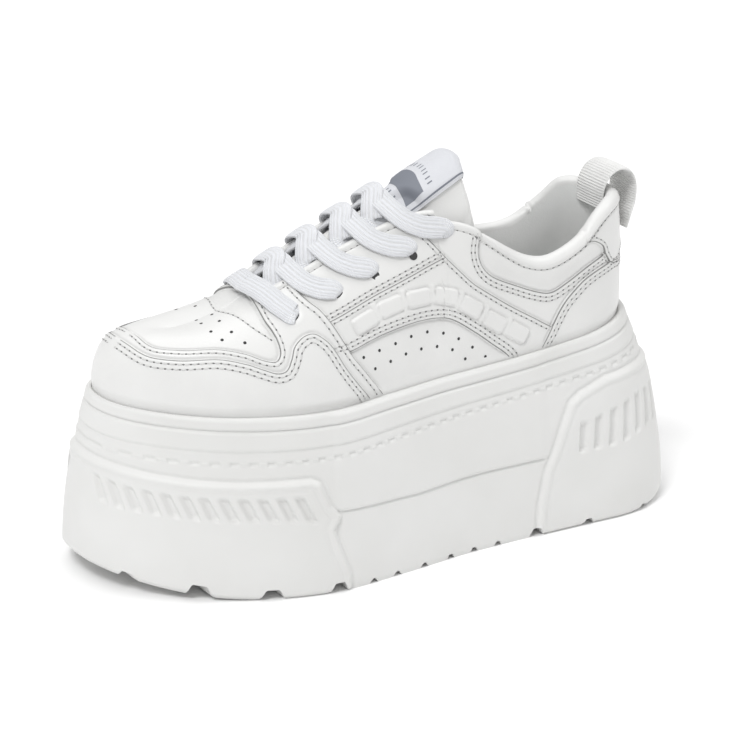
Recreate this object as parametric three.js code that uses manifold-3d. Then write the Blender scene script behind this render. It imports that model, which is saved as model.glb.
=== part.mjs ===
import * as THREE from 'three';
import Module from 'manifold-3d';

// Left platform sneaker, EU 37, laced and standing empty on its sole.
// Millimetres, +Z up, toe towards +X, outer (lateral) side towards +Y.
// The last is described by s, running 0 at the heel to 1 at the toe, and by an angle phi
// that climbs each rib of the upper from its lower edge (0) to the ridge of the last (90 degrees).

const wasm = await Module();
wasm.setup();

// ---------------------------------------------------------------- driving dimensions

const SOLE_LENGTH = 284;
const SOLE_CENTRE_Y = 2.3;
const FOXING_HEEL_X = 21;
const FOXING_TOE_X = 274.5;
const TOE_SPRING = 9.2;
const TOE_SPRING_START = 0.78;
const HEEL_BEVEL = 4.5;
const HEEL_BEVEL_END = 0.13;
const UPPER_HEEL_X = 24.5;
const UPPER_TOE_X = 272;
const LIP_WIDTH = 2.2;
const FEATHER_SINK = 14;
const FIT_GAP = 0.35;
const UPPER_WALL = 2.2;
const COLLAR_WALL = 6.5;
const COLLAR_DEPTH = 34;
const THROAT_FRONT = 0.77;
const THROAT_ROUND = 0.05;
const COLLAR_FRONT = 0.43;
const COLLAR_PAD_FRONT = 0.35;
const COLLAR_PAD_RUN = 0.1;
const COLLAR_PAD_PEAK = 0.35;
const COLLAR_JOIN_START = 0.3;
const COLLAR_JOIN_RUN = 0.1;
const COLLAR_JOIN_ROUND = 0.3;
const RIM_LIFT = 0.35;
const EYELET_DRILL_LENGTH = 14;
const GROOVE_SPAN = 160;
const EYELET_DIAMETER = 5;
const EYELET_FACETS = 10;
const INSOLE_THICKNESS = 4;
const INSOLE_DISH = 1;
const INSOLE_GAP = 0.5;
const INSOLE_LEAST_WIDTH = 4;
const TONGUE_THICKNESS = 7;
const TONGUE_EDGE = 2.6;
const TONGUE_DROP = 2.6;
const TONGUE_TOP_ARCH = 0.042;
const TONGUE_TUCK = 5.5;
const LACE_WIDTH = 9.6;
const LACE_THICKNESS = 1.6;
const LACE_CLEARANCE = 0.45;
const LACE_EDGE = 0.86;
const LACE_END_SHIFT = 0.6;
const CROSSING_STEPS = 15;
const BAR_STEPS = 14;
const LOOP_STEPS = 18;
const LABEL_STEPS_ACROSS = 10;
const LABEL_STEPS_ALONG = 4;
const SEARCH_STEPS = 40;
const LACED_STATIONS = [0.2, 0.98];
const THROAT_SPACING = 1.25;

// Ground outline of the sole: centre line, half width and how far each side leans in to the top.
const GROUND_SECTIONS = [
  { s: 0.0, centre: 0, half: 41, flare: 8.4 },
  { s: 0.15, centre: 0, half: 41, flare: 8.4 },
  { s: 0.42, centre: 1.3, half: 45.6, flare: 10 },
  { s: 0.55, centre: 2.1, half: 51.5, flare: 10.4 },
  { s: 0.68, centre: 2.7, half: 56, flare: 9.3 },
  { s: 0.85, centre: -1.8, half: 53.8, flare: 8.8 },
  { s: 1.0, centre: -11.5, half: 51, flare: 8.8 },
];

// How the outline closes at each end: length of the rounding as a share of the sole, and its power.
const HEEL_ROUND = { length: 0.15, power: 2 };
const LATERAL_TOE_ROUND = { length: 0.34, power: 2.3 };
const MEDIAL_TOE_ROUND = { length: 0.3, power: 2.3 };

// Height of the foxing's top edge along the shoe (x as a share of the sole length).
const FOXING_TOP = [
  { x: 0.0, height: 92.7 },
  { x: 0.3, height: 81.4 },
  { x: 0.62, height: 77.4 },
  { x: 0.8, height: 77.1 },
  { x: 1.0, height: 78.8 },
];

// Side wall of the sole from the ground up: height share, lean share (0 ground outline, 1 top
// outline) and relief standing out from the wall.
const WALL_PROFILE = [
  { height: 0.0, lean: 0.02, relief: -0.4 },
  { height: 0.03, lean: 0.0, relief: 0 },
  { height: 0.2, lean: 0.05, relief: 0 },
  { height: 0.4, lean: 0.19, relief: 0 },
  { height: 0.42, lean: 0.21, relief: -0.7 },
  { height: 0.6, lean: 0.36, relief: -0.5 },
  { height: 0.78, lean: 0.61, relief: -0.3 },
  { height: 0.8, lean: 0.65, relief: 0.2 },
  { height: 0.92, lean: 0.87, relief: 0.3 },
  { height: 0.935, lean: 0.9, relief: -0.4 },
  { height: 0.95, lean: 0.92, relief: 0.2 },
  { height: 0.985, lean: 0.98, relief: 0.2 },
  { height: 1.0, lean: 1.0, relief: -0.5 },
];

// Grooves across the tread: place along the sole, width at the ground, depth.
const TREAD_GROOVES = [
  { x: 26, width: 4.5, depth: 2.5 },
  { x: 58, width: 5.5, depth: 3 },
  { x: 86, width: 6.5, depth: 3.6 },
  { x: 107, width: 3, depth: 2.2 },
  { x: 120, width: 3, depth: 2.2 },
  { x: 133, width: 3, depth: 2.2 },
  { x: 148, width: 3, depth: 2.2 },
  { x: 163, width: 3, depth: 2.2 },
  { x: 176, width: 3, depth: 2.2 },
  { x: 194, width: 7, depth: 4.5 },
  { x: 223, width: 8.5, depth: 4.5 },
  { x: 250.5, width: 8, depth: 5 },
];

// Ribs of the upper: swell (power of the arch), and the ridge of the last where each rib ends.
const UPPER_SECTIONS = [
  { s: 0.0, swell: 2.8, ridgeX: 68, ridgeZ: 200 },
  { s: 0.13, swell: 2.6, ridgeX: 70, ridgeZ: 198 },
  { s: 0.25, swell: 2.4, ridgeX: 85, ridgeZ: 188 },
  { s: 0.4, swell: 2.2, ridgeX: 120, ridgeZ: 167 },
  { s: 0.5, swell: 2.05, ridgeX: 146, ridgeZ: 153 },
  { s: 0.62, swell: 1.9, ridgeX: 176, ridgeZ: 139.5 },
  { s: 0.72, swell: 1.9, ridgeX: 199, ridgeZ: 127 },
  { s: 0.8, swell: 2.25, ridgeX: 215, ridgeZ: 116.2 },
  { s: 0.9, swell: 2.9, ridgeX: 230, ridgeZ: 109.6 },
  { s: 1.0, swell: 3.6, ridgeX: 242, ridgeZ: 106.6 },
];

// Top line of the collar from the heel tab to the eyestay's corner: height on each side.
const TOP_LINE = [
  { s: 0.0, lateral: 140, medial: 140 },
  { s: 0.05, lateral: 139.5, medial: 139 },
  { s: 0.09, lateral: 135.5, medial: 130 },
  { s: 0.14, lateral: 126.5, medial: 121.5 },
  { s: 0.2, lateral: 120.6, medial: 119.8 },
  { s: 0.25, lateral: 122, medial: 121.5 },
  { s: 0.3, lateral: 129, medial: 128.5 },
  { s: 0.36, lateral: 140, medial: 140 },
  { s: 0.4, lateral: 147, medial: 147 },
  { s: 0.44, lateral: 151.5, medial: 151.5 },
];

// Opening between the eyestays: half width at each section.
const THROAT_WIDTH = [
  { s: 0.3, half: 24 },
  { s: 0.42, half: 19.5 },
  { s: 0.46, half: 17 },
  { s: 0.52, half: 14.8 },
  { s: 0.77, half: 11.5 },
];

// Eyelets of each row: y is the distance from the ridge, sweep is how far towards the toe each
// strand has swung by the time it crosses the ridge.
const EYELETS = [
  { x: 201, y: 25, sweep: 7.5 },
  { x: 181, y: 25, sweep: 14 },
  { x: 163, y: 24, sweep: 17 },
  { x: 144, y: 23.2, sweep: 19.5 },
  { x: 126, y: 23.2, sweep: 22 },
];

// Tongue: half width, how far its face lies under the last's surface along the ridge, and the
// half width of the crown before the face drops to pass under laces and eyestays.
const TONGUE_SECTIONS = [
  { s: 0.336, half: 27.5, under: 5.2, crown: 14 },
  { s: 0.37, half: 29, under: 3.6, crown: 14 },
  { s: 0.44, half: 29, under: 1.8, crown: 12 },
  { s: 0.47, half: 29, under: 2.0, crown: 3 },
  { s: 0.5, half: 29, under: 2.0, crown: 1 },
  { s: 0.6, half: 29, under: 2.0, crown: 1 },
  { s: 0.74, half: 27, under: 3.2, crown: 1 },
  { s: 0.83, half: 22, under: 5.0, crown: 1 },
];

// Woven label wrapped over the tongue.
const LABEL = { from: 0.388, to: 0.47, half: 16, thickness: 1.1, gap: 1.1 };

// Pull loop of webbing at the heel: its side view from inside the collar, over, and down the back.
const LOOP_WIDTH = 21;
const LOOP_THICKNESS = 1.8;
const LOOP_PATH = [
  { x: 36.2, z: 134 },
  { x: 36.0, z: 143 },
  { x: 32.8, z: 149 },
  { x: 27.5, z: 151.6 },
  { x: 22.2, z: 150 },
  { x: 19.2, z: 145 },
  { x: 19.0, z: 137 },
  { x: 21.0, z: 130 },
  { x: 22.9, z: 124 },
];

// Grid of the solids.
const THROAT_STATIONS = 31;
const TOE_STATIONS = 13;
const RIB_ROWS = 11;
const TONGUE_STATIONS = 16;
const TONGUE_ROWS = 7;

// ---------------------------------------------------------------- curves

const clamp = (value, low, high) => Math.min(high, Math.max(low, value));
const mix = (a, b, share) => a + (b - a) * share;

// Smooth curve through the rows of a table: column value at the given key.
function curve(rows, key, column, at) {
  const last = rows.length - 1;
  const position = clamp(at, rows[0][key], rows[last][key]);
  const span = (i) => rows[i + 1][key] - rows[i][key];
  const slope = (i) => (rows[i + 1][column] - rows[i][column]) / span(i);
  const tangent = (i) => {
    if (i === 0) return slope(0);
    if (i === last) return slope(last - 1);
    return (slope(i - 1) * span(i) + slope(i) * span(i - 1)) / (span(i) + span(i - 1));
  };
  let i = 0;
  while (i < last - 1 && position > rows[i + 1][key]) i += 1;
  const h = span(i);
  const t = (position - rows[i][key]) / h;
  const startWeight = 2 * t ** 3 - 3 * t ** 2 + 1;
  const startPull = (t ** 3 - 2 * t ** 2 + t) * h;
  const endPull = (t ** 3 - t ** 2) * h;
  return startWeight * rows[i][column] + (1 - startWeight) * rows[i + 1][column]
    + startPull * tangent(i) + endPull * tangent(i + 1);
}

// Share of the full half width left at s, closing to nothing at the heel and the toe.
function endRound(s, side) {
  const toe = side > 0 ? LATERAL_TOE_ROUND : MEDIAL_TOE_ROUND;
  if (s < HEEL_ROUND.length) {
    const share = (HEEL_ROUND.length - s) / HEEL_ROUND.length;
    return Math.sqrt(Math.max(0, 1 - share ** HEEL_ROUND.power));
  }
  if (s > 1 - toe.length) {
    const share = (s - 1 + toe.length) / toe.length;
    return Math.max(0, 1 - share ** toe.power) ** (1 / toe.power);
  }
  return 1;
}

const foxingHeight = (x) => curve(FOXING_TOP, 'x', 'height', x / SOLE_LENGTH);
const centreLine = (s) => curve(GROUND_SECTIONS, 's', 'centre', s);
const groundHalf = (s) => curve(GROUND_SECTIONS, 's', 'half', s);
const sideFlare = (s) => curve(GROUND_SECTIONS, 's', 'flare', s);

// Clearance of the tread above the floor: a rounded heel edge and the toe spring.
function groundHeight(s) {
  const toe = clamp((s - TOE_SPRING_START) / (1 - TOE_SPRING_START), 0, 1);
  const heel = clamp((HEEL_BEVEL_END - s) / HEEL_BEVEL_END, 0, 1);
  return TOE_SPRING * toe ** 2 + HEEL_BEVEL * heel ** 2;
}

// ---------------------------------------------------------------- the last

// Point of a rib's arch at angle phi: out is its share of the half width, up of the height.
function arch(phi, swell) {
  const c = Math.max(0, Math.cos(phi));
  const s = Math.max(0, Math.sin(phi));
  const size = (c ** swell + s ** swell) ** (1 / swell);
  return { out: c / size, up: s / size };
}

const archAtUp = (up, swell) => Math.atan2(up, Math.max(0, 1 - up ** swell) ** (1 / swell));
const archAtOut = (out, swell) => Math.atan2(Math.max(0, 1 - out ** swell) ** (1 / swell), out);

// One rib: its foot on the feather line and its head on the ridge.
function rib(s, side) {
  const footX = mix(UPPER_HEEL_X, UPPER_TOE_X, s);
  const half = groundHalf(s) - sideFlare(s) - LIP_WIDTH - FIT_GAP;
  const headX = curve(UPPER_SECTIONS, 's', 'ridgeX', s);
  const headS = (headX - UPPER_HEEL_X) / (UPPER_TOE_X - UPPER_HEEL_X);
  return {
    half: half * endRound(s, side),
    swell: curve(UPPER_SECTIONS, 's', 'swell', s),
    foot: new THREE.Vector3(
      footX,
      centreLine(s) + side * half * endRound(s, side),
      foxingHeight(footX) - FEATHER_SINK,
    ),
    head: new THREE.Vector3(headX, centreLine(headS), curve(UPPER_SECTIONS, 's', 'ridgeZ', s)),
  };
}

// Outer surface of the upper, carried on over the openings.
function lastPoint(s, side, phi) {
  const r = rib(s, side);
  const a = arch(phi, r.swell);
  return new THREE.Vector3(
    mix(r.head.x, r.foot.x, a.out),
    mix(r.head.y, r.foot.y, a.out),
    mix(r.foot.z, r.head.z, a.up),
  );
}

// s runs with the angle t of a half turn, so that both ends of the outline are met squarely.
const stationS = (t) => (1 - Math.cos(t)) / 2;
const stationT = (s) => Math.acos(clamp(1 - 2 * s, -1, 1));

// Outward normal of the last at station angle t.
function lastNormal(t, side, phi) {
  const step = 1e-3;
  const across = (a) => {
    const flip = a < 0 || a > Math.PI ? -1 : 1;
    const inside = a < 0 ? -a : Math.min(a, 2 * Math.PI - a);
    return lastPoint(stationS(inside), side * flip, phi);
  };
  const along = across(t + step).sub(across(t - step));
  const low = lastPoint(stationS(t), side, Math.max(0, phi - step));
  const high = lastPoint(stationS(t), side, Math.min(Math.PI / 2, phi + step));
  return high.sub(low).cross(along).multiplyScalar(side).normalize();
}

// ---------------------------------------------------------------- top line and throat

const topHeight = (s, side) => curve(TOP_LINE, 's', side > 0 ? 'lateral' : 'medial', s);

// Angle at which each rib stops: the collar's top line, then the edge of the eyestay.
function topPhi(s, side) {
  const r = rib(s, side);
  const share = clamp((topHeight(s, side) - r.foot.z) / (r.head.z - r.foot.z), 0, 1);
  const collar = archAtUp(share, r.swell);
  if (s < COLLAR_JOIN_START) return collar;
  if (s >= THROAT_FRONT) return Math.PI / 2;
  const end = clamp((s - THROAT_FRONT + THROAT_ROUND) / THROAT_ROUND, 0, 1);
  const gap = curve(THROAT_WIDTH, 's', 'half', s) * Math.sqrt(1 - end ** 2);
  const throat = archAtOut(clamp(gap / r.half, 0, 1), r.swell);
  const joined = clamp((s - COLLAR_JOIN_START) / COLLAR_JOIN_RUN, 0.01, 1);
  return s < COLLAR_FRONT ? softMin(collar, throat, COLLAR_JOIN_ROUND * joined) : throat;
}

// The smaller of two angles, with the corner between them rounded.
function softMin(a, b, radius) {
  const blend = clamp(0.5 + (b - a) / (2 * radius), 0, 1);
  return mix(b, a, blend) - radius * blend * (1 - blend);
}

// ---------------------------------------------------------------- solids from grids

// Closed mesh collected from quads and triangles; equal points share one vertex.
class Skin {
  constructor() {
    this.points = [];
    this.faces = [];
    this.index = new Map();
  }

  add(point) {
    const key = [point.x, point.y, point.z].map((v) => Math.round(v * 1e4)).join(',');
    if (!this.index.has(key)) {
      this.index.set(key, this.points.length);
      this.points.push(point.clone());
    }
    return this.index.get(key);
  }

  triangle(a, b, c) {
    const [i, j, k] = [this.add(a), this.add(b), this.add(c)];
    if (i !== j && j !== k && k !== i) this.faces.push(i, j, k);
  }

  quad(a, b, c, d) {
    if (a.distanceTo(c) <= b.distanceTo(d)) {
      this.triangle(a, b, c);
      this.triangle(a, c, d);
    } else {
      this.triangle(a, b, d);
      this.triangle(b, c, d);
    }
  }

  // Strip between two rows of points.
  strip(lower, upper) {
    for (let i = 0; i < lower.length - 1; i += 1) {
      this.quad(lower[i], lower[i + 1], upper[i + 1], upper[i]);
    }
  }

  solid() {
    const vertProperties = new Float32Array(this.points.flatMap((p) => [p.x, p.y, p.z]));
    const triVerts = new Uint32Array(this.faces);
    const solid = new wasm.Manifold(new wasm.Mesh({ numProp: 3, vertProperties, triVerts }));
    return solid;
  }
}

function geometryOf(solid) {
  const mesh = solid.getMesh();
  const geometry = new THREE.BufferGeometry();
  const count = mesh.vertProperties.length / mesh.numProp;
  const positions = new Float32Array(count * 3);
  for (let i = 0; i < count; i += 1) {
    positions.set(mesh.vertProperties.subarray(i * mesh.numProp, i * mesh.numProp + 3), i * 3);
  }
  geometry.setAttribute('position', new THREE.BufferAttribute(positions, 3));
  geometry.setIndex(new THREE.BufferAttribute(new Uint32Array(mesh.triVerts), 1));
  geometry.computeVertexNormals();
  return geometry;
}

// ---------------------------------------------------------------- stations

// Station angles: drawn together towards the throat's front end, then even round the toe.
function stationAngles() {
  const throat = stationT(THROAT_FRONT);
  const angles = [];
  for (let i = 0; i < THROAT_STATIONS; i += 1) {
    angles.push(throat * (1 - (1 - i / THROAT_STATIONS) ** THROAT_SPACING));
  }
  for (let i = 0; i <= TOE_STATIONS; i += 1) {
    angles.push(mix(throat, Math.PI, i / TOE_STATIONS));
  }
  return angles;
}

// Loop of stations: heel to toe on the lateral side, and back to the heel on the medial side.
function loopStations() {
  const angles = stationAngles();
  const lateral = angles.map((t) => ({ t, side: 1 }));
  const medial = angles.slice(1, -1).reverse().map((t) => ({ t, side: -1 }));
  return [...lateral, ...medial, lateral[0]];
}

// ---------------------------------------------------------------- sole

// Point of the sole's wall.
function wallPoint(t, side, row) {
  const s = stationS(t);
  const heelX = FOXING_HEEL_X * row.lean;
  const toeX = mix(SOLE_LENGTH, FOXING_TOE_X, row.lean);
  const x = mix(heelX, toeX, s);
  const half = (groundHalf(s) - sideFlare(s) * row.lean) * endRound(s, side);
  const y = centreLine(s) + side * half;
  const z = mix(groundHeight(s), foxingHeight(mix(FOXING_HEEL_X, FOXING_TOE_X, s)), row.height);
  return new THREE.Vector3(x, y, z);
}

// The same point moved out of the wall by the row's relief.
function wallRelief(t, side, row) {
  const step = 1e-3;
  const around = (a) => {
    const flip = a < 0 || a > Math.PI ? -1 : 1;
    const inside = a < 0 ? -a : Math.min(a, 2 * Math.PI - a);
    return wallPoint(inside, side * flip, row);
  };
  const along = around(t + step).sub(around(t - step));
  const out = new THREE.Vector3(-along.y, along.x, 0).multiplyScalar(side).normalize();
  return wallPoint(t, side, row).addScaledVector(out, row.relief);
}

// Wall of the cup: the upper's own surface, moved out by the fit gap.
function cupPoint(t, side, depth) {
  const s = stationS(t);
  const r = rib(s, side);
  const height = FEATHER_SINK - depth;
  const phi = archAtUp(clamp(height / (r.head.z - r.foot.z), 0, 1), r.swell);
  const point = lastPoint(s, side, phi);
  const normal = lastNormal(t, side, phi);
  normal.z = 0;
  return point.addScaledVector(normal.normalize(), FIT_GAP);
}

// Strip of quads across the shoe between the two sides of a loop.
function bridge(skin, loop, upward) {
  const half = (loop.length - 1) / 2;
  for (let i = 0; i < half; i += 1) {
    const a = loop[i];
    const b = loop[i + 1];
    const c = loop[loop.length - 2 - i];
    const d = loop[loop.length - 1 - i];
    if (upward) skin.quad(a, d, c, b);
    else skin.quad(a, b, c, d);
  }
}

function buildSole() {
  const stations = loopStations();
  const skin = new Skin();
  const rings = WALL_PROFILE.map((row) => stations.map(({ t, side }) => wallRelief(t, side, row)));
  const cupDepths = [0, FEATHER_SINK / 2, FEATHER_SINK + FIT_GAP];
  for (const depth of cupDepths) {
    rings.push(stations.map(({ t, side }) => {
      const point = cupPoint(t, side, Math.min(depth, FEATHER_SINK));
      point.z = rib(stationS(t), side).foot.z + FEATHER_SINK - depth;
      return point;
    }));
  }
  for (let i = 0; i < rings.length - 1; i += 1) skin.strip(rings[i + 1], rings[i]);
  bridge(skin, rings[0], false);
  bridge(skin, rings[rings.length - 1], true);
  let sole = skin.solid();
  for (const groove of TREAD_GROOVES) sole = sole.subtract(treadGroove(groove));
  return sole;
}

// Trapezoid bar right across the tread.
function treadGroove({ x, width, depth }) {
  const floor = groundHeight(x / SOLE_LENGTH);
  const shape = new THREE.Shape([
    new THREE.Vector2(x - width / 2 - 1, floor - 3),
    new THREE.Vector2(x + width / 2 + 1, floor - 3),
    new THREE.Vector2(x + width / 4, floor + depth),
    new THREE.Vector2(x - width / 4, floor + depth),
  ]);
  const bar = new THREE.ExtrudeGeometry(shape, { depth: GROOVE_SPAN, bevelEnabled: false, steps: 1 });
  bar.rotateX(Math.PI / 2);
  bar.translate(0, GROOVE_SPAN / 2, 0);
  return solidOf(bar);
}

// Manifold solid of a closed three.js geometry.
function solidOf(geometry) {
  const skin = new Skin();
  const position = geometry.getAttribute('position');
  const corner = (i) => new THREE.Vector3().fromBufferAttribute(position, i);
  const order = geometry.index ? Array.from(geometry.index.array) : [...Array(position.count).keys()];
  for (let i = 0; i < order.length; i += 3) {
    skin.triangle(corner(order[i]), corner(order[i + 1]), corner(order[i + 2]));
  }
  return skin.solid();
}

// ---------------------------------------------------------------- upper

// Wall thickness: plain below, padded towards the collar's top line.
function wallThickness(s, side, z) {
  const below = (topHeight(s, side) - z) / COLLAR_DEPTH;
  const height = clamp(1 - Math.abs(below - COLLAR_PAD_PEAK) / (1 - COLLAR_PAD_PEAK), 0, 1);
  const along = clamp((COLLAR_PAD_FRONT - s) / COLLAR_PAD_RUN, 0, 1);
  const pad = Math.sin((height * Math.PI) / 2) * Math.sin((along * Math.PI) / 2);
  return mix(UPPER_WALL, COLLAR_WALL, pad);
}

// Normal shared by both sides where they meet on the ridge and at the ends.
function seamNormal(t, side, phi) {
  const normal = lastNormal(t, side, phi);
  const onRidge = phi > Math.PI / 2 - 1e-6;
  const onEnd = t < 1e-6 || t > Math.PI - 1e-6;
  if (onRidge || onEnd) normal.add(lastNormal(t, -side, phi)).normalize();
  return normal;
}

function upperColumn(t, side) {
  const s = stationS(t);
  const top = topPhi(s, side);
  const column = { outer: [], inner: [], rim: [] };
  for (let j = 0; j <= RIB_ROWS; j += 1) {
    const phi = (top * j) / RIB_ROWS;
    const point = lastPoint(s, side, phi);
    const normal = seamNormal(t, side, phi);
    const inside = point.clone().addScaledVector(normal, -wallThickness(s, side, point.z));
    if (j === 0) inside.z = point.z;
    column.outer.push(point);
    column.inner.push(inside);
  }
  const edge = column.outer[RIB_ROWS];
  const before = column.outer[RIB_ROWS - 1];
  const rise = edge.clone().sub(before).normalize();
  const inner = column.inner[RIB_ROWS];
  const lift = RIM_LIFT * edge.distanceTo(inner);
  column.rim = [edge, edge.clone().add(inner).multiplyScalar(0.5).addScaledVector(rise, lift), inner];
  return column;
}

function buildUpper() {
  const stations = loopStations();
  const throat = stationT(THROAT_FRONT);
  const skin = new Skin();
  const columns = stations.map(({ t, side }) => upperColumn(t, side));
  for (let i = 0; i < columns.length - 1; i += 1) {
    const a = columns[i];
    const b = columns[i + 1];
    for (let j = 0; j < RIB_ROWS; j += 1) {
      skin.quad(b.outer[j], a.outer[j], a.outer[j + 1], b.outer[j + 1]);
      skin.quad(a.inner[j], b.inner[j], b.inner[j + 1], a.inner[j + 1]);
    }
    skin.quad(a.outer[0], b.outer[0], b.inner[0], a.inner[0]);
    const open = stations[i].t < throat - 1e-6 || stations[i + 1].t < throat - 1e-6;
    if (open) {
      const rimA = stations[i].t >= throat - 1e-6 ? [a.rim[0], a.rim[0], a.rim[2]] : a.rim;
      const rimB = stations[i + 1].t >= throat - 1e-6 ? [b.rim[0], b.rim[0], b.rim[2]] : b.rim;
      skin.quad(rimB[0], rimA[0], rimA[1], rimB[1]);
      skin.quad(rimB[1], rimA[1], rimA[2], rimB[2]);
    }
  }
  return skin.solid();
}

// Place on the last at a plan distance to the side of its ridge, with its outward normal.
function onLast(x, offset) {
  const side = offset < 0 ? -1 : 1;
  const ridgeY = centreLine((x - UPPER_HEEL_X) / (UPPER_TOE_X - UPPER_HEEL_X));
  const angle = (s) => {
    const r = rib(s, side);
    const share = clamp((ridgeY + offset - r.head.y) / (r.foot.y - r.head.y), 0, 1);
    return archAtOut(share, r.swell);
  };
  let [low, high] = LACED_STATIONS;
  for (let i = 0; i < SEARCH_STEPS; i += 1) {
    const middle = (low + high) / 2;
    if (lastPoint(middle, side, angle(middle)).x < x) low = middle;
    else high = middle;
  }
  const phi = angle(low);
  const point = lastPoint(low, side, phi);
  return { point, normal: seamNormal(stationT(low), side, phi), s: low };
}

// Drill through the eyestay at one eyelet.
function eyeletDrill({ x, y }, side) {
  const { point, normal } = onLast(x, y * side);
  const radius = EYELET_DIAMETER / 2;
  const drill = new THREE.CylinderGeometry(radius, radius, EYELET_DRILL_LENGTH, EYELET_FACETS);
  const turn = new THREE.Quaternion().setFromUnitVectors(new THREE.Vector3(0, 1, 0), normal);
  drill.applyQuaternion(turn);
  drill.translate(point.x, point.y, point.z);
  return solidOf(drill);
}

// ---------------------------------------------------------------- tongue and label

// Point of the tongue's face at a distance across from its ridge; depth is measured inwards.
function tonguePoint(s, across, depth) {
  const side = across < 0 ? -1 : 1;
  const r = rib(s, side);
  const phi = archAtOut(clamp(Math.abs(across) / r.half, 0, 1), r.swell);
  const under = curve(TONGUE_SECTIONS, 's', 'under', s);
  const tuck = smoothStep((Math.abs(across) - curve(TONGUE_SECTIONS, 's', 'crown', s)) / TONGUE_TUCK);
  const sink = Math.max(under, mix(under, UPPER_WALL + TONGUE_DROP, tuck));
  const point = lastPoint(s, side, phi);
  return point.addScaledVector(seamNormal(stationT(s), side, phi), -sink - depth);
}

function smoothStep(value) {
  const t = clamp(value, 0, 1);
  return t * t * (3 - 2 * t);
}

function buildTongue() {
  const first = TONGUE_SECTIONS[0].s;
  const last = TONGUE_SECTIONS[TONGUE_SECTIONS.length - 1].s;
  const rows = [];
  for (let i = 0; i <= TONGUE_STATIONS; i += 1) {
    const share = i / TONGUE_STATIONS;
    const s = mix(first, last, share ** 1.4);
    const half = curve(TONGUE_SECTIONS, 's', 'half', s);
    const endPad = Math.min(1, (i + 1) / 3);
    const face = [];
    const back = [];
    for (let j = -TONGUE_ROWS; j <= TONGUE_ROWS; j += 1) {
      const v = j / TONGUE_ROWS;
      const pad = Math.sqrt(Math.max(0, 1 - v ** 4)) * Math.sqrt(endPad);
      const thickness = mix(TONGUE_EDGE, TONGUE_THICKNESS, pad);
      const at = s + TONGUE_TOP_ARCH * (1 - v * v) * (1 - share);
      face.push(tonguePoint(at, v * half, 0));
      back.push(tonguePoint(at, v * half, thickness));
    }
    rows.push([...face, ...back.reverse()]);
  }
  return tube(rows);
}

// Closed solid through equal loops of points, capped flat at both ends.
function tube(loops) {
  const skin = new Skin();
  const count = loops[0].length;
  for (let i = 0; i < loops.length - 1; i += 1) {
    for (let j = 0; j < count; j += 1) {
      const k = (j + 1) % count;
      skin.quad(loops[i][j], loops[i][k], loops[i + 1][k], loops[i + 1][j]);
    }
  }
  const cap = (loop, forward) => {
    for (let j = 0; j < count / 2 - 1; j += 1) {
      const [a, b] = [loop[j], loop[j + 1]];
      const [c, d] = [loop[count - 2 - j], loop[count - 1 - j]];
      if (forward) skin.quad(a, b, c, d);
      else skin.quad(a, d, c, b);
    }
  };
  cap(loops[0], false);
  cap(loops[loops.length - 1], true);
  const solid = skin.solid();
  return solid.volume() > 0 ? solid : turned(skin);
}

function turned(skin) {
  for (let i = 0; i < skin.faces.length; i += 3) {
    [skin.faces[i + 1], skin.faces[i + 2]] = [skin.faces[i + 2], skin.faces[i + 1]];
  }
  return skin.solid();
}

function buildLabel() {
  const loops = [];
  const lengths = [];
  for (let j = 0; j <= LABEL_STEPS_ALONG; j += 1) lengths.push(j / LABEL_STEPS_ALONG);
  for (let i = 0; i <= LABEL_STEPS_ACROSS; i += 1) {
    const across = mix(-LABEL.half, LABEL.half, i / LABEL_STEPS_ACROSS);
    const at = (share, depth) => tonguePoint(mix(LABEL.from, LABEL.to, share), across, depth);
    const under = lengths.map((share) => at(share, -LABEL.gap));
    const over = lengths.map((share) => at(share, -LABEL.gap - LABEL.thickness));
    loops.push([...under, ...over.reverse()]);
  }
  return tube(loops);
}

// ---------------------------------------------------------------- insole

function buildInsole() {
  const angles = stationAngles();
  const loops = [];
  for (const t of angles.slice(1, -1)) {
    const edge = (side) => {
      const foot = lastPoint(stationS(t), side, 0);
      const normal = lastNormal(t, side, 0);
      normal.z = 0;
      return foot.addScaledVector(normal.normalize(), -UPPER_WALL - INSOLE_GAP);
    };
    const left = edge(1);
    const right = edge(-1);
    const rise = new THREE.Vector3(0, 0, INSOLE_THICKNESS);
    const dish = new THREE.Vector3(0, 0, INSOLE_THICKNESS - INSOLE_DISH);
    const middle = left.clone().add(right).multiplyScalar(0.5);
    if (left.y - right.y < INSOLE_LEAST_WIDTH) continue;
    loops.push([
      right, middle, left,
      left.clone().add(rise), middle.clone().add(dish), right.clone().add(rise),
    ]);
  }
  return tube(loops);
}

// ---------------------------------------------------------------- laces

// Flat woven strip along frames of centre, across and up.
function strip(frames, width, thickness) {
  const edge = LACE_EDGE;
  const outline = [[-1, 0], [-edge, 1], [edge, 1], [1, 0], [edge, -1], [-edge, -1]];
  return tube(frames.map(({ centre, across, up }) => outline.map(([a, b]) => centre.clone()
    .addScaledVector(across, (a * width) / 2)
    .addScaledVector(up, (b * thickness) / 2))));
}

// Lace strand over plan points; lift is its height above the last's surface.
function strand(stops, steps) {
  const centres = [];
  const ups = [];
  for (let i = 0; i <= steps; i += 1) {
    const share = i / steps;
    const at = (column) => curve(stops, 'share', column, share);
    const { point, normal } = onLast(at('x'), at('y'));
    centres.push(point.addScaledVector(normal, at('lift')));
    ups.push(normal);
  }
  const frames = centres.map((centre, i) => {
    const ahead = centres[Math.min(i + 1, steps)].clone().sub(centres[Math.max(i - 1, 0)]);
    const across = ahead.clone().cross(ups[i]).normalize();
    return { centre, across, up: across.clone().cross(ahead).normalize() };
  });
  return strip(frames, LACE_WIDTH, LACE_THICKNESS);
}

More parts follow.
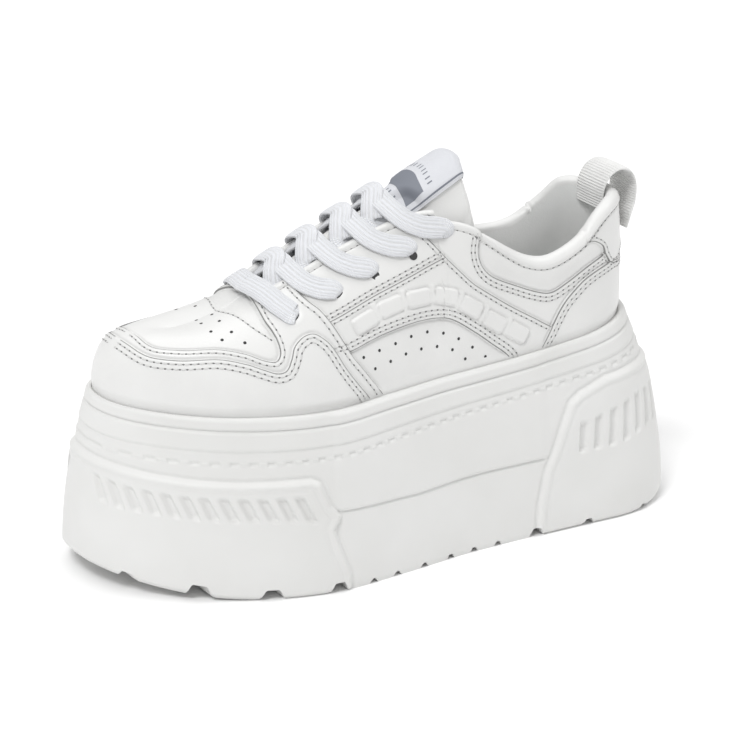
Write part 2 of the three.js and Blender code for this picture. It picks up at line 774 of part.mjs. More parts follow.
const LACE_OVER = LACE_THICKNESS / 2 + LACE_CLEARANCE;
const LACE_UNDER = -UPPER_WALL - LACE_CLEARANCE - LACE_THICKNESS / 2;

// Strand of a crossing: from the top of eyelet `to`, sweeping forward over the ridge, to its end
// under the opposite eyestay at eyelet `from`.
function crossingStrand(from, to, side) {
  const reach = from.x - to.x;
  const at = (sweep, y) => ({ x: to.x + sweep, y: side * y });
  return strand([
    { share: 0.0, ...at(-LACE_END_SHIFT, to.y + LACE_END_SHIFT), lift: LACE_OVER },
    { share: 0.16, ...at(to.sweep * 0.45, to.y * 0.86), lift: LACE_OVER + 0.1 },
    { share: 0.32, ...at(to.sweep * 0.82, to.y * 0.66), lift: LACE_OVER + 0.5 },
    { share: 0.46, ...at(to.sweep * 0.99, to.y * 0.34), lift: LACE_OVER + 1.2 },
    { share: 0.6, ...at(to.sweep, 0), lift: LACE_OVER + 0.7 },
    { share: 0.72, ...at(mix(to.sweep, reach, 0.4), -4.2), lift: LACE_UNDER + 3.2 },
    { share: 0.82, ...at(mix(to.sweep, reach, 0.75), -7.4), lift: LACE_UNDER + 0.4 },
    { share: 0.9, ...at(mix(to.sweep, reach, 0.9), -11), lift: LACE_UNDER },
    { share: 1.0, ...at(reach, -18), lift: LACE_UNDER },
  ], CROSSING_STEPS);
}

function buildCrossing(from, to) {
  return crossingStrand(from, to, 1).add(crossingStrand(from, to, -1));
}

// Straight bar over the front of the throat.
function buildBar({ x, y, sweep }) {
  const at = (share, along, across, lift) => ({ share, x: x + along, y: across, lift });
  return strand([
    at(0.0, -LACE_END_SHIFT, -y - LACE_END_SHIFT, LACE_OVER),
    at(0.16, sweep * 0.55, -y * 0.75, LACE_OVER + 0.2),
    at(0.34, sweep * 0.9, -y * 0.35, LACE_OVER + 1.3),
    at(0.5, sweep, 0, LACE_OVER + 1.9),
    at(0.66, sweep * 0.9, y * 0.35, LACE_OVER + 1.3),
    at(0.84, sweep * 0.55, y * 0.75, LACE_OVER + 0.2),
    at(1.0, -LACE_END_SHIFT, y + LACE_END_SHIFT, LACE_OVER),
  ], BAR_STEPS);
}

// ---------------------------------------------------------------- pull loop

function buildLoop() {
  const across = new THREE.Vector3(0, 1, 0);
  const path = new THREE.CatmullRomCurve3(LOOP_PATH.map(({ x, z }) => new THREE.Vector3(x, 0, z)));
  const frames = path.getPoints(LOOP_STEPS).map((centre, i) => {
    const along = path.getTangent(i / LOOP_STEPS);
    return { centre, across, up: along.cross(across).normalize() };
  });
  return strip(frames, LOOP_WIDTH, LOOP_THICKNESS);
}

// ---------------------------------------------------------------- assembly

const WHITE_SOLE = { color: 0xecece8, roughness: 0.55, metalness: 0 };
const WHITE_LEATHER = { color: 0xf0f0ee, roughness: 0.45, metalness: 0 };
const PALE_LINING = { color: 0xdedfda, roughness: 0.85, metalness: 0 };
const LABEL_WEAVE = { color: 0xdfe2ea, roughness: 0.7, metalness: 0 };
const WHITE_WEBBING = { color: 0xe6e6e4, roughness: 0.8, metalness: 0 };
const WHITE_LACE = { color: 0xeceef2, roughness: 0.8, metalness: 0 };

function drilledUpper() {
  let upper = buildUpper();
  for (const eyelet of EYELETS) {
    upper = upper.subtract(eyeletDrill(eyelet, 1)).subtract(eyeletDrill(eyelet, -1));
  }
  return upper;
}

const shoe = new THREE.Group();

function place(name, solid, look) {
  const mesh = new THREE.Mesh(geometryOf(solid), new THREE.MeshStandardMaterial(look));
  mesh.name = name;
  mesh.position.set(-SOLE_LENGTH / 2, -SOLE_CENTRE_Y, 0);
  shoe.add(mesh);
}

place('sole', buildSole(), WHITE_SOLE);
place('upper', drilledUpper(), WHITE_LEATHER);
place('tongue', buildTongue(), WHITE_LEATHER);
place('insole', buildInsole(), PALE_LINING);
place('tongue_label', buildLabel(), LABEL_WEAVE);
place('pull_loop', buildLoop(), WHITE_WEBBING);
place('lace_bar_1', buildBar(EYELETS[0]), WHITE_LACE);
for (let i = 0; i < EYELETS.length - 1; i += 1) {
  place(`lace_cross_${i + 2}`, buildCrossing(EYELETS[i], EYELETS[i + 1]), WHITE_LACE);
}

export default shoe;
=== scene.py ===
import math
import bpy
import numpy as np
from mathutils import Matrix, Vector


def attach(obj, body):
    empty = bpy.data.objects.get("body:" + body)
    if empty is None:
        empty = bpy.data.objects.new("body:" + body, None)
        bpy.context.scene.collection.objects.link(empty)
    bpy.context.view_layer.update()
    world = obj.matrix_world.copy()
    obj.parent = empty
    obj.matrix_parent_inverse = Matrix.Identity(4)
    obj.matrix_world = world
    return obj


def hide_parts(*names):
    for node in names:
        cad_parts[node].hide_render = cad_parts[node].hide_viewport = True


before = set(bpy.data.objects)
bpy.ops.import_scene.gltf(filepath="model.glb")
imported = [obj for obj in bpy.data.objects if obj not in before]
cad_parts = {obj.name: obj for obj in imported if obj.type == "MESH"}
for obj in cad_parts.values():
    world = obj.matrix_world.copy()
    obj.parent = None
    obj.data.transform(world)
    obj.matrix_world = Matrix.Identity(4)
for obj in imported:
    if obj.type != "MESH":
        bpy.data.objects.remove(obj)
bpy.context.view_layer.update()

# Left platform sneaker. Shoe sizes are in millimetres: x from the heel (0) to the toe (284),
# y outwards to the lateral side, z up. A place on the upper is given by its station s (0 heel,
# 1 toe) and its angle phi up the rib (0 at the sole, 90 degrees on the ridge), as in part.mjs.

# --- sizes shared with part.mjs

SOLE_LENGTH, SOLE_CENTRE_Y = 284, 2.3
FOXING_HEEL_X, FOXING_TOE_X = 21, 274.5
TOE_SPRING, TOE_SPRING_START = 9.2, 0.78
HEEL_BEVEL, HEEL_BEVEL_END = 4.5, 0.13
UPPER_HEEL_X, UPPER_TOE_X = 24.5, 272
LIP_WIDTH, FEATHER_SINK, FIT_GAP = 2.2, 14, 0.35
UPPER_WALL, COLLAR_WALL, COLLAR_DEPTH = 2.2, 6.5, 34
THROAT_FRONT, THROAT_ROUND, COLLAR_FRONT = 0.77, 0.05, 0.43
COLLAR_PAD_FRONT, COLLAR_PAD_RUN = 0.35, 0.1
COLLAR_JOIN_START, COLLAR_JOIN_RUN, COLLAR_JOIN_ROUND = 0.3, 0.1, 0.3
INSOLE_THICKNESS = 4
TONGUE_THICKNESS, TONGUE_DROP, TONGUE_TUCK = 7, 2.6, 5.5
TONGUE_TOP_ARCH = 0.042
LACE_WIDTH, LACE_THICKNESS, LACE_CLEARANCE = 9.6, 1.6, 0.45

GROUND = np.array([  # s, centre line, half width, lean of the wall
    (0.0, 0, 41, 8.4), (0.15, 0, 41, 8.4), (0.42, 1.3, 45.6, 10), (0.55, 2.1, 51.5, 10.4),
    (0.68, 2.7, 56, 9.3), (0.85, -1.8, 53.8, 8.8), (1.0, -11.5, 51, 8.8)], float)
FOXING = np.array([  # x as a share of the sole, height of the foxing's top edge
    (0.0, 92.7), (0.3, 81.4), (0.62, 77.4), (0.8, 77.1), (1.0, 78.8)], float)
RIBS = np.array([  # s, swell, ridge x, ridge z
    (0.0, 2.8, 68, 200), (0.13, 2.6, 70, 198), (0.25, 2.4, 85, 188), (0.4, 2.2, 120, 167),
    (0.5, 2.05, 146, 153), (0.62, 1.9, 176, 139.5), (0.72, 1.9, 199, 127),
    (0.8, 2.25, 215, 116.2), (0.9, 2.9, 230, 109.6), (1.0, 3.6, 242, 106.6)], float)
TOP_LINE = np.array([  # s, lateral height, medial height
    (0.0, 140, 140), (0.05, 139.5, 139), (0.09, 135.5, 130), (0.14, 126.5, 121.5),
    (0.2, 120.6, 119.8), (0.25, 122, 121.5), (0.3, 129, 128.5), (0.36, 140, 140),
    (0.4, 147, 147), (0.44, 151.5, 151.5)], float)
THROAT = np.array([  # s, half width of the opening between the eyestays
    (0.3, 24), (0.42, 19.5), (0.46, 17), (0.52, 14.8), (0.77, 11.5)], float)
EYELETS = [  # x, distance from the ridge, sweep of the strand
    (201, 25, 7.5), (181, 25, 14), (163, 24, 17), (144, 23.2, 19.5), (126, 23.2, 22)]
TONGUE = np.array([  # s, half width, depth under the last, half width of the crown
    (0.336, 27.5, 5.2, 14), (0.37, 29, 3.6, 14), (0.44, 29, 1.8, 12), (0.47, 29, 2.0, 3),
    (0.5, 29, 2.0, 1), (0.6, 29, 2.0, 1), (0.74, 27, 3.2, 1), (0.83, 22, 5.0, 1)], float)
LABEL_TO, LABEL_HALF = 0.47, 16
LOOP_WIDTH, LOOP_THICKNESS = 21, 1.8
LOOP_PATH = np.array([
    (36.2, 134), (36.0, 143), (32.8, 149), (27.5, 151.6), (22.2, 150), (19.2, 145),
    (19.0, 137), (21.0, 130), (22.9, 124)], float)
GROOVES = [  # x, width, depth of the grooves across the tread
    (26, 4.5, 2.5), (58, 5.5, 3), (86, 6.5, 3.6), (107, 3, 2.2), (120, 3, 2.2), (133, 3, 2.2),
    (148, 3, 2.2), (163, 3, 2.2), (176, 3, 2.2), (194, 8, 4.5), (223, 9.5, 4.6), (250.5, 9, 5),
    (273.5, 4.5, 3)]


def mix(a, b, share):
    return a + (b - a) * share


def smooth(value):
    t = np.clip(value, 0, 1)
    return t * t * (3 - 2 * t)


def hermite(keys, values, at):
    """Smooth curve through (keys, values)."""
    at = np.clip(np.asarray(at, float), keys[0], keys[-1])
    span = np.diff(keys)
    slope = np.diff(values) / span
    tangent = np.empty(len(keys))
    tangent[0], tangent[-1] = slope[0], slope[-1]
    tangent[1:-1] = (slope[:-1] * span[:-1] + slope[1:] * span[1:]) / (span[:-1] + span[1:])
    i = np.clip(np.searchsorted(keys, at, side="left") - 1, 0, len(keys) - 2)
    h = span[i]
    t = (at - keys[i]) / h
    start = 2 * t ** 3 - 3 * t ** 2 + 1
    return (start * values[i] + (1 - start) * values[i + 1]
            + (t ** 3 - 2 * t ** 2 + t) * h * tangent[i] + (t ** 3 - t ** 2) * h * tangent[i + 1])


def column(rows, at, index=1):
    return hermite(rows[:, 0], rows[:, index], at)


def unit(v):
    return v / np.maximum(np.linalg.norm(v, axis=-1, keepdims=True), 1e-12)


def ridge(value, at, width):
    return np.exp(-((value - at) / width) ** 2)


def run_along(path):
    """Length along a path of points, from 0 at its start."""
    return np.concatenate([[0], np.cumsum(np.linalg.norm(np.diff(path, axis=0), axis=1))])


# --- the last

def end_round(s, side):
    length = np.where(side > 0, 0.34, 0.30)
    heel = np.clip((0.15 - s) / 0.15, 0, 1)
    toe = np.clip((s - 1 + length) / length, 0, 1)
    return np.sqrt(np.clip(1 - heel ** 2, 0, 1)) * np.clip(1 - toe ** 2.3, 0, 1) ** (1 / 2.3)


def foxing_height(x):
    return column(FOXING, x / SOLE_LENGTH)


def ground_height(s):
    toe = np.clip((s - TOE_SPRING_START) / (1 - TOE_SPRING_START), 0, 1)
    heel = np.clip((HEEL_BEVEL_END - s) / HEEL_BEVEL_END, 0, 1)
    return TOE_SPRING * toe ** 2 + HEEL_BEVEL * heel ** 2


def arch(phi, swell):
    c = np.clip(np.cos(phi), 0, None)
    s = np.clip(np.sin(phi), 0, None)
    size = (c ** swell + s ** swell) ** (1 / swell)
    return c / size, s / size


def arch_at_up(up, swell):
    return np.arctan2(up, np.clip(1 - up ** swell, 0, None) ** (1 / swell))


def arch_at_out(out, swell):
    return np.arctan2(np.clip(1 - out ** swell, 0, None) ** (1 / swell), out)


def centre_line(x):
    return column(GROUND, (x - UPPER_HEEL_X) / (UPPER_TOE_X - UPPER_HEEL_X))


class Rib:
    """Curve of the last at station s, from its foot at the sole to its head on the ridge."""

    def __init__(self, s, side):
        self.foot_x = mix(UPPER_HEEL_X, UPPER_TOE_X, s)
        flat = column(GROUND, s, 2) - column(GROUND, s, 3) - LIP_WIDTH - FIT_GAP
        self.half = flat * end_round(s, side)
        self.swell = column(RIBS, s, 1)
        self.foot_y = column(GROUND, s, 1) + side * self.half
        self.foot_z = foxing_height(self.foot_x) - FEATHER_SINK
        self.head_x = column(RIBS, s, 2)
        self.head_y = centre_line(self.head_x)
        self.head_z = column(RIBS, s, 3)


def last(s, side, phi):
    r = Rib(s, side)
    out, up = arch(phi, r.swell)
    return np.stack([mix(r.head_x, r.foot_x, out), mix(r.head_y, r.foot_y, out),
                     mix(r.foot_z, r.head_z, up)], axis=-1)


def on_line(line, side):
    """Points of the last along a line of (s, phi)."""
    return last(line[:, 0], side, line[:, 1])


def station(t):
    return (1 - np.cos(t)) / 2


def station_t(s):
    return np.arccos(np.clip(1 - 2 * s, -1, 1))


def fold(t):
    """t brought back from past the heel or the toe, and -1 where that changes the side."""
    flip = np.where((t < 0) | (t > np.pi), -1, 1)
    return np.where(t < 0, -t, np.where(t > np.pi, 2 * np.pi - t, t)), flip


def climb(s, side, phi, step=1e-3):
    """From a step of phi below the place to a step above it."""
    return (last(s, side, np.clip(phi + step, 0, np.pi / 2))
            - last(s, side, np.clip(phi - step, 0, np.pi / 2)))


def around(t, side, phi):
    t, flip = fold(t)
    return last(station(t), side * flip, phi)


def plain_normal(t, side, phi, step=1e-3):
    along = around(t + step, side, phi) - around(t - step, side, phi)
    return unit(np.cross(climb(station(t), side, phi), along) * np.asarray(side)[..., None])


def normal(t, side, phi):
    """Outward normal, shared by both sides on the ridge and at the two ends."""
    t, side, phi = np.broadcast_arrays(t, side, phi)
    n = plain_normal(t, side, phi)
    m = plain_normal(t, -side, phi)
    shared = (phi > np.pi / 2 - 1e-6) | (t < 1e-6) | (t > np.pi - 1e-6)
    return np.where(shared[..., None], unit(n + m), n)


def top_line(s, side):
    return np.where(side > 0, column(TOP_LINE, s, 1), column(TOP_LINE, s, 2))


def top_phi(s, side):
    """Angle at which each rib stops: the collar's top line, then the eyestay's edge."""
    r = Rib(s, side)
    rise = (top_line(s, side) - r.foot_z) / (r.head_z - r.foot_z)
    collar = arch_at_up(np.clip(rise, 0, 1), r.swell)
    end = np.clip((s - THROAT_FRONT + THROAT_ROUND) / THROAT_ROUND, 0, 1)
    gap = column(THROAT, s) * np.sqrt(1 - end ** 2)
    throat = arch_at_out(np.clip(gap / np.maximum(r.half, 1e-6), 0, 1), r.swell)
    bend = COLLAR_JOIN_ROUND * np.clip((s - COLLAR_JOIN_START) / COLLAR_JOIN_RUN, 0.01, 1)
    blend = np.clip(0.5 + (throat - collar) / (2 * bend), 0, 1)
    soft = mix(throat, collar, blend) - bend * blend * (1 - blend)
    out = np.where(s < COLLAR_FRONT, soft, throat)
    out = np.where(s < COLLAR_JOIN_START, collar, out)
    return np.where(s >= THROAT_FRONT, np.pi / 2, out)


def on_last(x, offset):
    """Station, side and angle of the point at plan distance offset from the ridge."""
    side = -1 if offset < 0 else 1
    ridge_y = float(centre_line(x))
    low, high, phi = 0.2, 0.98, 0.0
    for _ in range(36):
        middle = (low + high) / 2
        r = Rib(middle, side)
        share = np.clip((ridge_y + offset - r.head_y) / (r.foot_y - r.head_y), 0, 1)
        phi = float(arch_at_out(share, r.swell))
        if last(middle, side, phi)[0] < x:
            low = middle
        else:
            high = middle
    return low, side, phi


# --- meshes

def metres(points):
    return (np.asarray(points, float) - np.array([SOLE_LENGTH / 2, SOLE_CENTRE_Y, 0])) / 1000


def place(name, data):
    """New object in the scene."""
    thing = bpy.data.objects.new(name, data)
    bpy.context.scene.collection.objects.link(thing)
    return thing


def make(name, points, faces, look, node=(), uv=None):
    """Smooth piece from points in shoe millimetres and a list or array of faces."""
    mesh = bpy.data.meshes.new(name)
    faces = faces.tolist() if isinstance(faces, np.ndarray) else faces
    mesh.from_pydata(metres(points).tolist(), [], faces)
    if uv is not None:
        layer = mesh.uv_layers.new(name="UVMap")
        index = np.empty(len(mesh.loops), np.int32)
        mesh.loops.foreach_get("vertex_index", index)
        layer.data.foreach_set("uv", np.asarray(uv, np.float32)[index].ravel())
    mesh.validate()
    mesh.polygons.foreach_set("use_smooth", np.ones(len(mesh.polygons), bool))
    mesh.materials.append(look)
    piece = place(name, mesh)
    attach(piece, "root")
    if node:
        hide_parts(*node)
    return piece


def grid_faces(rows, columns, flip=False, closed=False, start=0):
    """Quads of a grid of rows x columns points; closed joins the last column to the first."""
    i = np.arange(rows - 1)[:, None]
    j = np.arange(columns if closed else columns - 1)[None, :]
    k = (j + 1) % columns
    quads = np.stack([i * columns + j, i * columns + k, (i + 1) * columns + k,
                      (i + 1) * columns + j], axis=-1).reshape(-1, 4) + start
    return quads[:, ::-1] if flip else quads


class Parts:
    """Several pieces of mesh collected into one."""

    def __init__(self):
        self.points, self.faces, self.count = [], [], 0

    def add(self, points, faces):
        self.points.append(points.reshape(-1, 3))
        self.faces.append(faces + self.count)
        self.count += len(self.points[-1])

    def build(self, name, look, slot, node=()):
        make(name, np.concatenate(self.points), np.concatenate(self.faces), look, node)


# --- seams and overlays

def seam(rows, count=260):
    """Dense smooth line of (s, phi) through rows of (s, phi in degrees)."""
    p = np.array(rows, float)
    p[:, 1] = np.radians(p[:, 1])
    run = np.hypot(np.diff(p[:, 0]) * 250, np.diff(p[:, 1]) * 70)
    u = np.concatenate([[0], np.cumsum(run)])
    at = np.linspace(0, u[-1], count)
    return np.stack([hermite(u, p[:, 0], at), hermite(u, p[:, 1], at)], axis=1)

SEAMS = {  # each is the edge of a piece of leather: rows of (s, phi in degrees)
    "strip": [(1.0, 60), (0.968, 51.5), (0.93, 50.5), (0.868, 50), (0.82, 45.5), (0.785, 39.5),
        (0.766, 37.5), (0.757, 40), (0.757, 46), (0.762, 52), (0.77, 60), (0.774, 74),
        (0.775, 90)],
    "mudguard": [(1.0, 51), (0.968, 45), (0.93, 44), (0.865, 44), (0.82, 40), (0.79, 35.5),
        (0.768, 32.2), (0.752, 32), (0.74, 36), (0.731, 40.5), (0.713, 43), (0.695, 42.5),
        (0.68, 39), (0.667, 34.5), (0.645, 24), (0.618, 15.5), (0.583, 7.5), (0.565, 2)],
    "band": [(0.712, 80), (0.7, 65), (0.688, 57), (0.672, 50), (0.633, 29), (0.598, 18),
        (0.557, 7.5), (0.54, 2)],
    "window": [(0.66, 30), (0.633, 29), (0.562, 28.5), (0.497, 27), (0.445, 24.5), (0.413, 22),
        (0.367, 16.5), (0.33, 12), (0.288, 7), (0.265, 2)],
    "eyestay": [(0.7, 45), (0.652, 43.5), (0.555, 42.5), (0.458, 40.5), (0.42, 39.5)],
    "panel": [(0.515, 80), (0.478, 60), (0.45, 49), (0.42, 39.5), (0.39, 32.5), (0.36, 27),
        (0.295, 19), (0.225, 12.5), (0.195, 10)],
    "pad": [(0.335, 56), (0.345, 40), (0.353, 35), (0.345, 30.5), (0.322, 26.5), (0.268, 21.5),
        (0.226, 18.5), (0.2, 17.5), (0.168, 18.2), (0.125, 19.7), (0.08, 20.6), (0.03, 21)],
    "counter": [(0.0, 18), (0.03, 18), (0.062, 18.6), (0.125, 17.8), (0.163, 15.5), (0.182, 13.5),
        (0.2, 10.5), (0.22, 6.5), (0.232, 2)],
    "tab": [(0.075, 50), (0.085, 34), (0.098, 32.3), (0.107, 30.5), (0.113, 28.5), (0.12, 26.5),
        (0.124, 25.2), (0.105, 24.2), (0.085, 22.5), (0.077, 20.5), (0.062, 18.4), (0.04, 18),
        (0.02, 19), (0.0, 20.5)],
    "vamp": [(0.843, 90), (0.835, 85), (0.815, 75), (0.787, 59), (0.762, 49)]}
BLOCK_ROW = [(0.595, 36), (0.54, 36), (0.48, 33.2), (0.422, 28.7), (0.375, 23), (0.325, 16.8),
    (0.273, 12)]
AREA_CORNERS = {  # rows of (s, phi in degrees) that close a seam round its piece
    "pad": [(-0.1, 21), (-0.1, 95), (0.335, 95)], "vamp": [(0.70, 49), (0.70, 90)],
    "panel": [(0.195, -9), (0.735, -9), (0.735, 95), (0.515, 95)],
    "eyestay": [(0.42, 39), (0.42, -9), (0.70, -9)], "window": [(0.265, -9), (0.66, -9)],
    "mudguard": [(0.565, -9), (1.1, -9), (1.1, 51)],
    "counter": [(0.232, -9), (-0.1, -9), (-0.1, 18)],
    "tab": [(-0.1, 20.5), (-0.1, 95), (0.075, 95)]}
LINES = {name: seam(rows) for name, rows in SEAMS.items()}
AREAS = {name: np.concatenate([LINES[name], [(s, math.radians(p)) for s, p in corners]])
         for name, corners in AREA_CORNERS.items()}
AREAS["front"] = np.concatenate([  # the band and the toe strip are one piece
    LINES["band"], [(0.54, -0.2), (1.1, -0.2), (1.1, 1.05)],
    LINES["strip"], [(0.775, 1.7), (0.712, 1.7)]])


def near_line(points, line, reach=9.0):
    """Distance of each point to a polyline, up to reach."""
    out = np.full(len(points), reach)
    low, high = line.min(0) - reach, line.max(0) + reach
    chosen = np.nonzero(((points > low) & (points < high)).all(1))[0]
    for start in range(0, len(chosen), 4000):
        index = chosen[start:start + 4000]
        p = points[index]
        gap = ((p[:, None, :] - line[None]) ** 2).sum(-1)
        i = gap.argmin(1)
        best = np.full(len(p), reach ** 2)
        for a in (np.clip(i - 1, 0, len(line) - 2), np.clip(i, 0, len(line) - 2)):
            d = line[a + 1] - line[a]
            t = np.clip(((p - line[a]) * d).sum(1) / np.maximum((d * d).sum(1), 1e-9), 0, 1)
            best = np.minimum(best, ((p - line[a] - d * t[:, None]) ** 2).sum(1))
        out[index] = np.minimum(out[index], np.sqrt(best))
    return out


def inside(s, phi, polygon):
    """Which (s, phi) lie inside a closed polygon."""
    result = np.zeros(len(s), bool)
    a = polygon
    b = np.roll(polygon, -1, axis=0)
    for (s0, p0), (s1, p1) in zip(a, b):
        if p0 == p1:
            continue
        crosses = (p0 > phi) != (p1 > phi)
        result ^= crosses & (s < (s1 - s0) * (phi - p0) / (p1 - p0) + s0)
    return result

EDGE_STEP = 0.45
TOE_BOX_START, TOE_BOX_LEVEL, VAMP_LEVEL = 0.735, -0.55, -0.95
PAD_LEVEL, CUSHION_RISE, CUSHION_RUN = -0.55, 1.5, 9
PANEL_LEVEL, DOUBLED_RISE, WINDOW_LEVEL = 0.45, 0.3, -0.35
COUNTER_LEVEL, TAB_LEVEL = 0.8, 1.0
FRONT_LEVELS, MUDGUARD_LEVELS = (1.0, 0.25), (1.6, 0.95)  # on the side, at the toe
RIM_END, HEM_LEVEL = 0.775, 0.12


def relief(s, side, phi):
    """Height of the upper's pieces over the last, in millimetres, for flat arrays of places."""
    points = last(s, side, phi)
    gap = {name: near_line(points, on_line(line, side)) for name, line in LINES.items()}
    gap["front"] = np.minimum(gap["band"], gap["strip"])
    flag = {name: inside(s, phi, area) for name, area in AREAS.items()}

    def depth(name, flagged=None):
        """Distance of each place from a seam, positive inside the piece."""
        return np.where(flag[name] if flagged is None else flagged, gap[name], -gap[name])

    def lay(base, name, level, crease):
        """Piece of leather laid over base, with a crease round its edge."""
        d = depth(name)
        raised = mix(base, level, smooth(0.5 + d / (2 * EDGE_STEP)))
        return raised - crease * ridge(d, -0.75, 0.42) + 0.1 * ridge(d, 0.75, 0.6)

    # Padded collar panel: a soft cushion a little below the quarter.
    d = depth("pad")
    cushion = PAD_LEVEL + smooth(d / CUSHION_RUN) * CUSHION_RISE
    height = mix(cushion, 0, smooth(0.5 - d / (2 * EDGE_STEP))) - 0.65 * ridge(d, 0.7, 0.5)
    # Toe box, and the vamp piece behind its stitched seam.
    height = np.where(s > TOE_BOX_START, TOE_BOX_LEVEL, height)
    height = lay(height, "vamp", VAMP_LEVEL, 0)
    height -= (s > TOE_BOX_START) * 0.25 * ridge(gap["vamp"], 0, 0.5)
    # Side panel with the eyestay, the lower half doubled, and the window cut in it.
    height = lay(height, "panel", PANEL_LEVEL, 0.5)
    d = depth("eyestay", flag["eyestay"] & flag["panel"])
    height += DOUBLED_RISE * smooth(0.5 + d / (2 * EDGE_STEP)) * (gap["panel"] > 0.4)
    height -= 0.16 * ridge(d, -0.6, 0.4) * (s > 0.43) * (s < 0.69)
    height += blocks(points, side)
    height = lay(height, "window", WINDOW_LEVEL, 0)
    height -= flag["window"] * 0.5 * ridge(gap["window"], 0.6, 0.45)
    # Band and toe strip, then the mudguard over both, then the counter and the tab.
    front = smooth((s - 0.70) / 0.08)
    height = lay(height, "front", mix(*FRONT_LEVELS, front), 0.55)
    height = lay(height, "mudguard", mix(*MUDGUARD_LEVELS, front), 0.55)
    height = lay(height, "counter", COUNTER_LEVEL, 0.55)
    height = lay(height, "tab", TAB_LEVEL, 0.5)
    # Rolled top line with a stitched groove under it.
    below = (top_phi(s, side) - phi) * np.linalg.norm(climb(s, side, phi), axis=-1) / 2e-3
    height += (s < RIM_END) * (0.55 * ridge(below, 0.5, 1.1) - 0.35 * ridge(below, 2.5, 0.5))
    # Pressed rings at the eyelets.
    for x, y, _ in EYELETS:
        at, _, angle = on_last(x, side * y)
        r = np.linalg.norm(points - last(at, side, angle), axis=1)
        height -= 0.9 * smooth(1.4 - r / 2.4) - 0.12 * ridge(r, 4.4, 0.7)
    # The lower edge is drawn in where it meets the foxing.
    up = points[:, 2] - foxing_height(points[:, 0])
    return mix(HEM_LEVEL, height, smooth((up - 0.6) / 4))


BLOCKS, BLOCK_SIZE, BLOCK_RISE, BLOCK_ROUND = 7, (11.5, 6.6), 0.75, 1.4
PEG_SIZE, PEG_SHIFT, PEG_RISE, PEG_ROUND = (2.6, 8.2), 0.9, 0.4, 0.7


def blocks(points, side):
    """Raised blocks along the side panel, with pegs between them."""
    line = seam(BLOCK_ROW, 200)
    path = on_line(line, side)
    run = run_along(path)
    height = np.zeros(len(points))

    def raise_box(at, size, shift, amount, round_by):
        i = int(np.searchsorted(run, at * run[-1]).clip(1, len(run) - 2))
        along = unit(path[i + 1] - path[i - 1])
        out = normal(station_t(line[i:i + 1, 0]), side, line[i:i + 1, 1])[0]
        across = np.cross(out, along)
        across = across * np.sign(across[2])
        d = points - path[i] - across * shift
        qa = np.abs(d @ along) - size[0] / 2 + round_by
        qb = np.abs(d @ across) - size[1] / 2 + round_by
        gap = (np.hypot(np.clip(qa, 0, None), np.clip(qb, 0, None))
               + np.minimum(np.maximum(qa, qb), 0) - round_by)
        raised = amount * smooth(0.5 - gap / 0.8) - 0.55 * ridge(gap, 0.7, 0.45)
        return np.where(np.abs(d @ out) < 6, raised, 0)

    for k in range(BLOCKS):
        block = raise_box(k / (BLOCKS - 1), BLOCK_SIZE, 0, BLOCK_RISE, BLOCK_ROUND)
        height = np.where(np.abs(block) > 1e-3, block, height)
    for k in range(BLOCKS - 1):
        peg = raise_box((k + 0.5) / (BLOCKS - 1), PEG_SIZE, PEG_SHIFT, PEG_RISE, PEG_ROUND)
        height = np.where(peg > 0.02, np.maximum(height, peg), height)
    return height


# --- materials

def node(tree, kind, inputs=None, **settings):
    """Shader node whose inputs are set to values or linked to other nodes' outputs."""
    made = tree.nodes.new("ShaderNode" + kind)
    for key, value in settings.items():
        setattr(made, key, value)
    for key, value in (inputs or {}).items():
        if isinstance(value, bpy.types.NodeSocket):
            tree.links.new(value, made.inputs[key])
        else:
            made.inputs[key].default_value = value
    return made


def shade(tree, tone, low, high, height, strength, distance, start=0.3, end=0.7):
    """Colour from low to high by tone, and a bump by height, on the tree's shader."""
    ramp = node(tree, "ValToRGB", {"Fac": tone})
    for stop, at, colour in zip(ramp.color_ramp.elements, (start, end), (low, high)):
        stop.position, stop.color = at, (*colour, 1)
    bump = node(tree, "Bump", {"Strength": strength, "Distance": distance, "Height": height})
    shader = tree.nodes["Principled BSDF"]
    tree.links.new(ramp.outputs["Color"], shader.inputs["Base Color"])
    tree.links.new(bump.outputs["Normal"], shader.inputs["Normal"])


def texture(tree, kind, output, **inputs):
    where = node(tree, "TexCoord").outputs["Object"]
    return node(tree, kind, {"Vector": where, **inputs}).outputs[output]


def leather(low, high, grain):
    def build(tree):
        cells = texture(tree, "TexVoronoi", "Distance", Scale=1150)
        fine = texture(tree, "TexNoise", "Fac", Scale=2300, Detail=2)
        both = node(tree, "Math", {0: cells, 1: fine}, operation="ADD").outputs["Value"]
        broad = texture(tree, "TexNoise", "Fac", Scale=38, Detail=4)
        shade(tree, broad, low, high, both, grain, 0.00012)
    return build


def foam(tree):
    broad = texture(tree, "TexNoise", "Fac", Scale=24, Detail=3)
    fine = texture(tree, "TexNoise", "Fac", Scale=1700, Detail=2)
    shade(tree, broad, (0.735, 0.735, 0.72), (0.775, 0.775, 0.765), fine, 0.25, 0.00008)


def woven(along, across, low, high, strength=0.8):
    """Weave from two crossed waves over the strip's own UV, u along and v across in millimetres."""
    def build(tree):
        uv = node(tree, "UVMap", uv_map="UVMap").outputs["UV"]
        waves = [node(tree, "TexWave", {"Vector": uv, "Scale": scale, "Distortion": 0.35,
                                        "Detail Scale": 2.0}, wave_type="BANDS",
                      bands_direction=direction).outputs["Fac"]
                 for direction, scale in (("X", along), ("Y", across))]
        both = node(tree, "Math", dict(enumerate(waves)), operation="MULTIPLY").outputs["Value"]
        # The weave's height also sets its colour: painted shade, darker in the weave's hollows.
        shade(tree, both, low, high, both, strength, 0.00035, 0.0, 0.5)
    return build


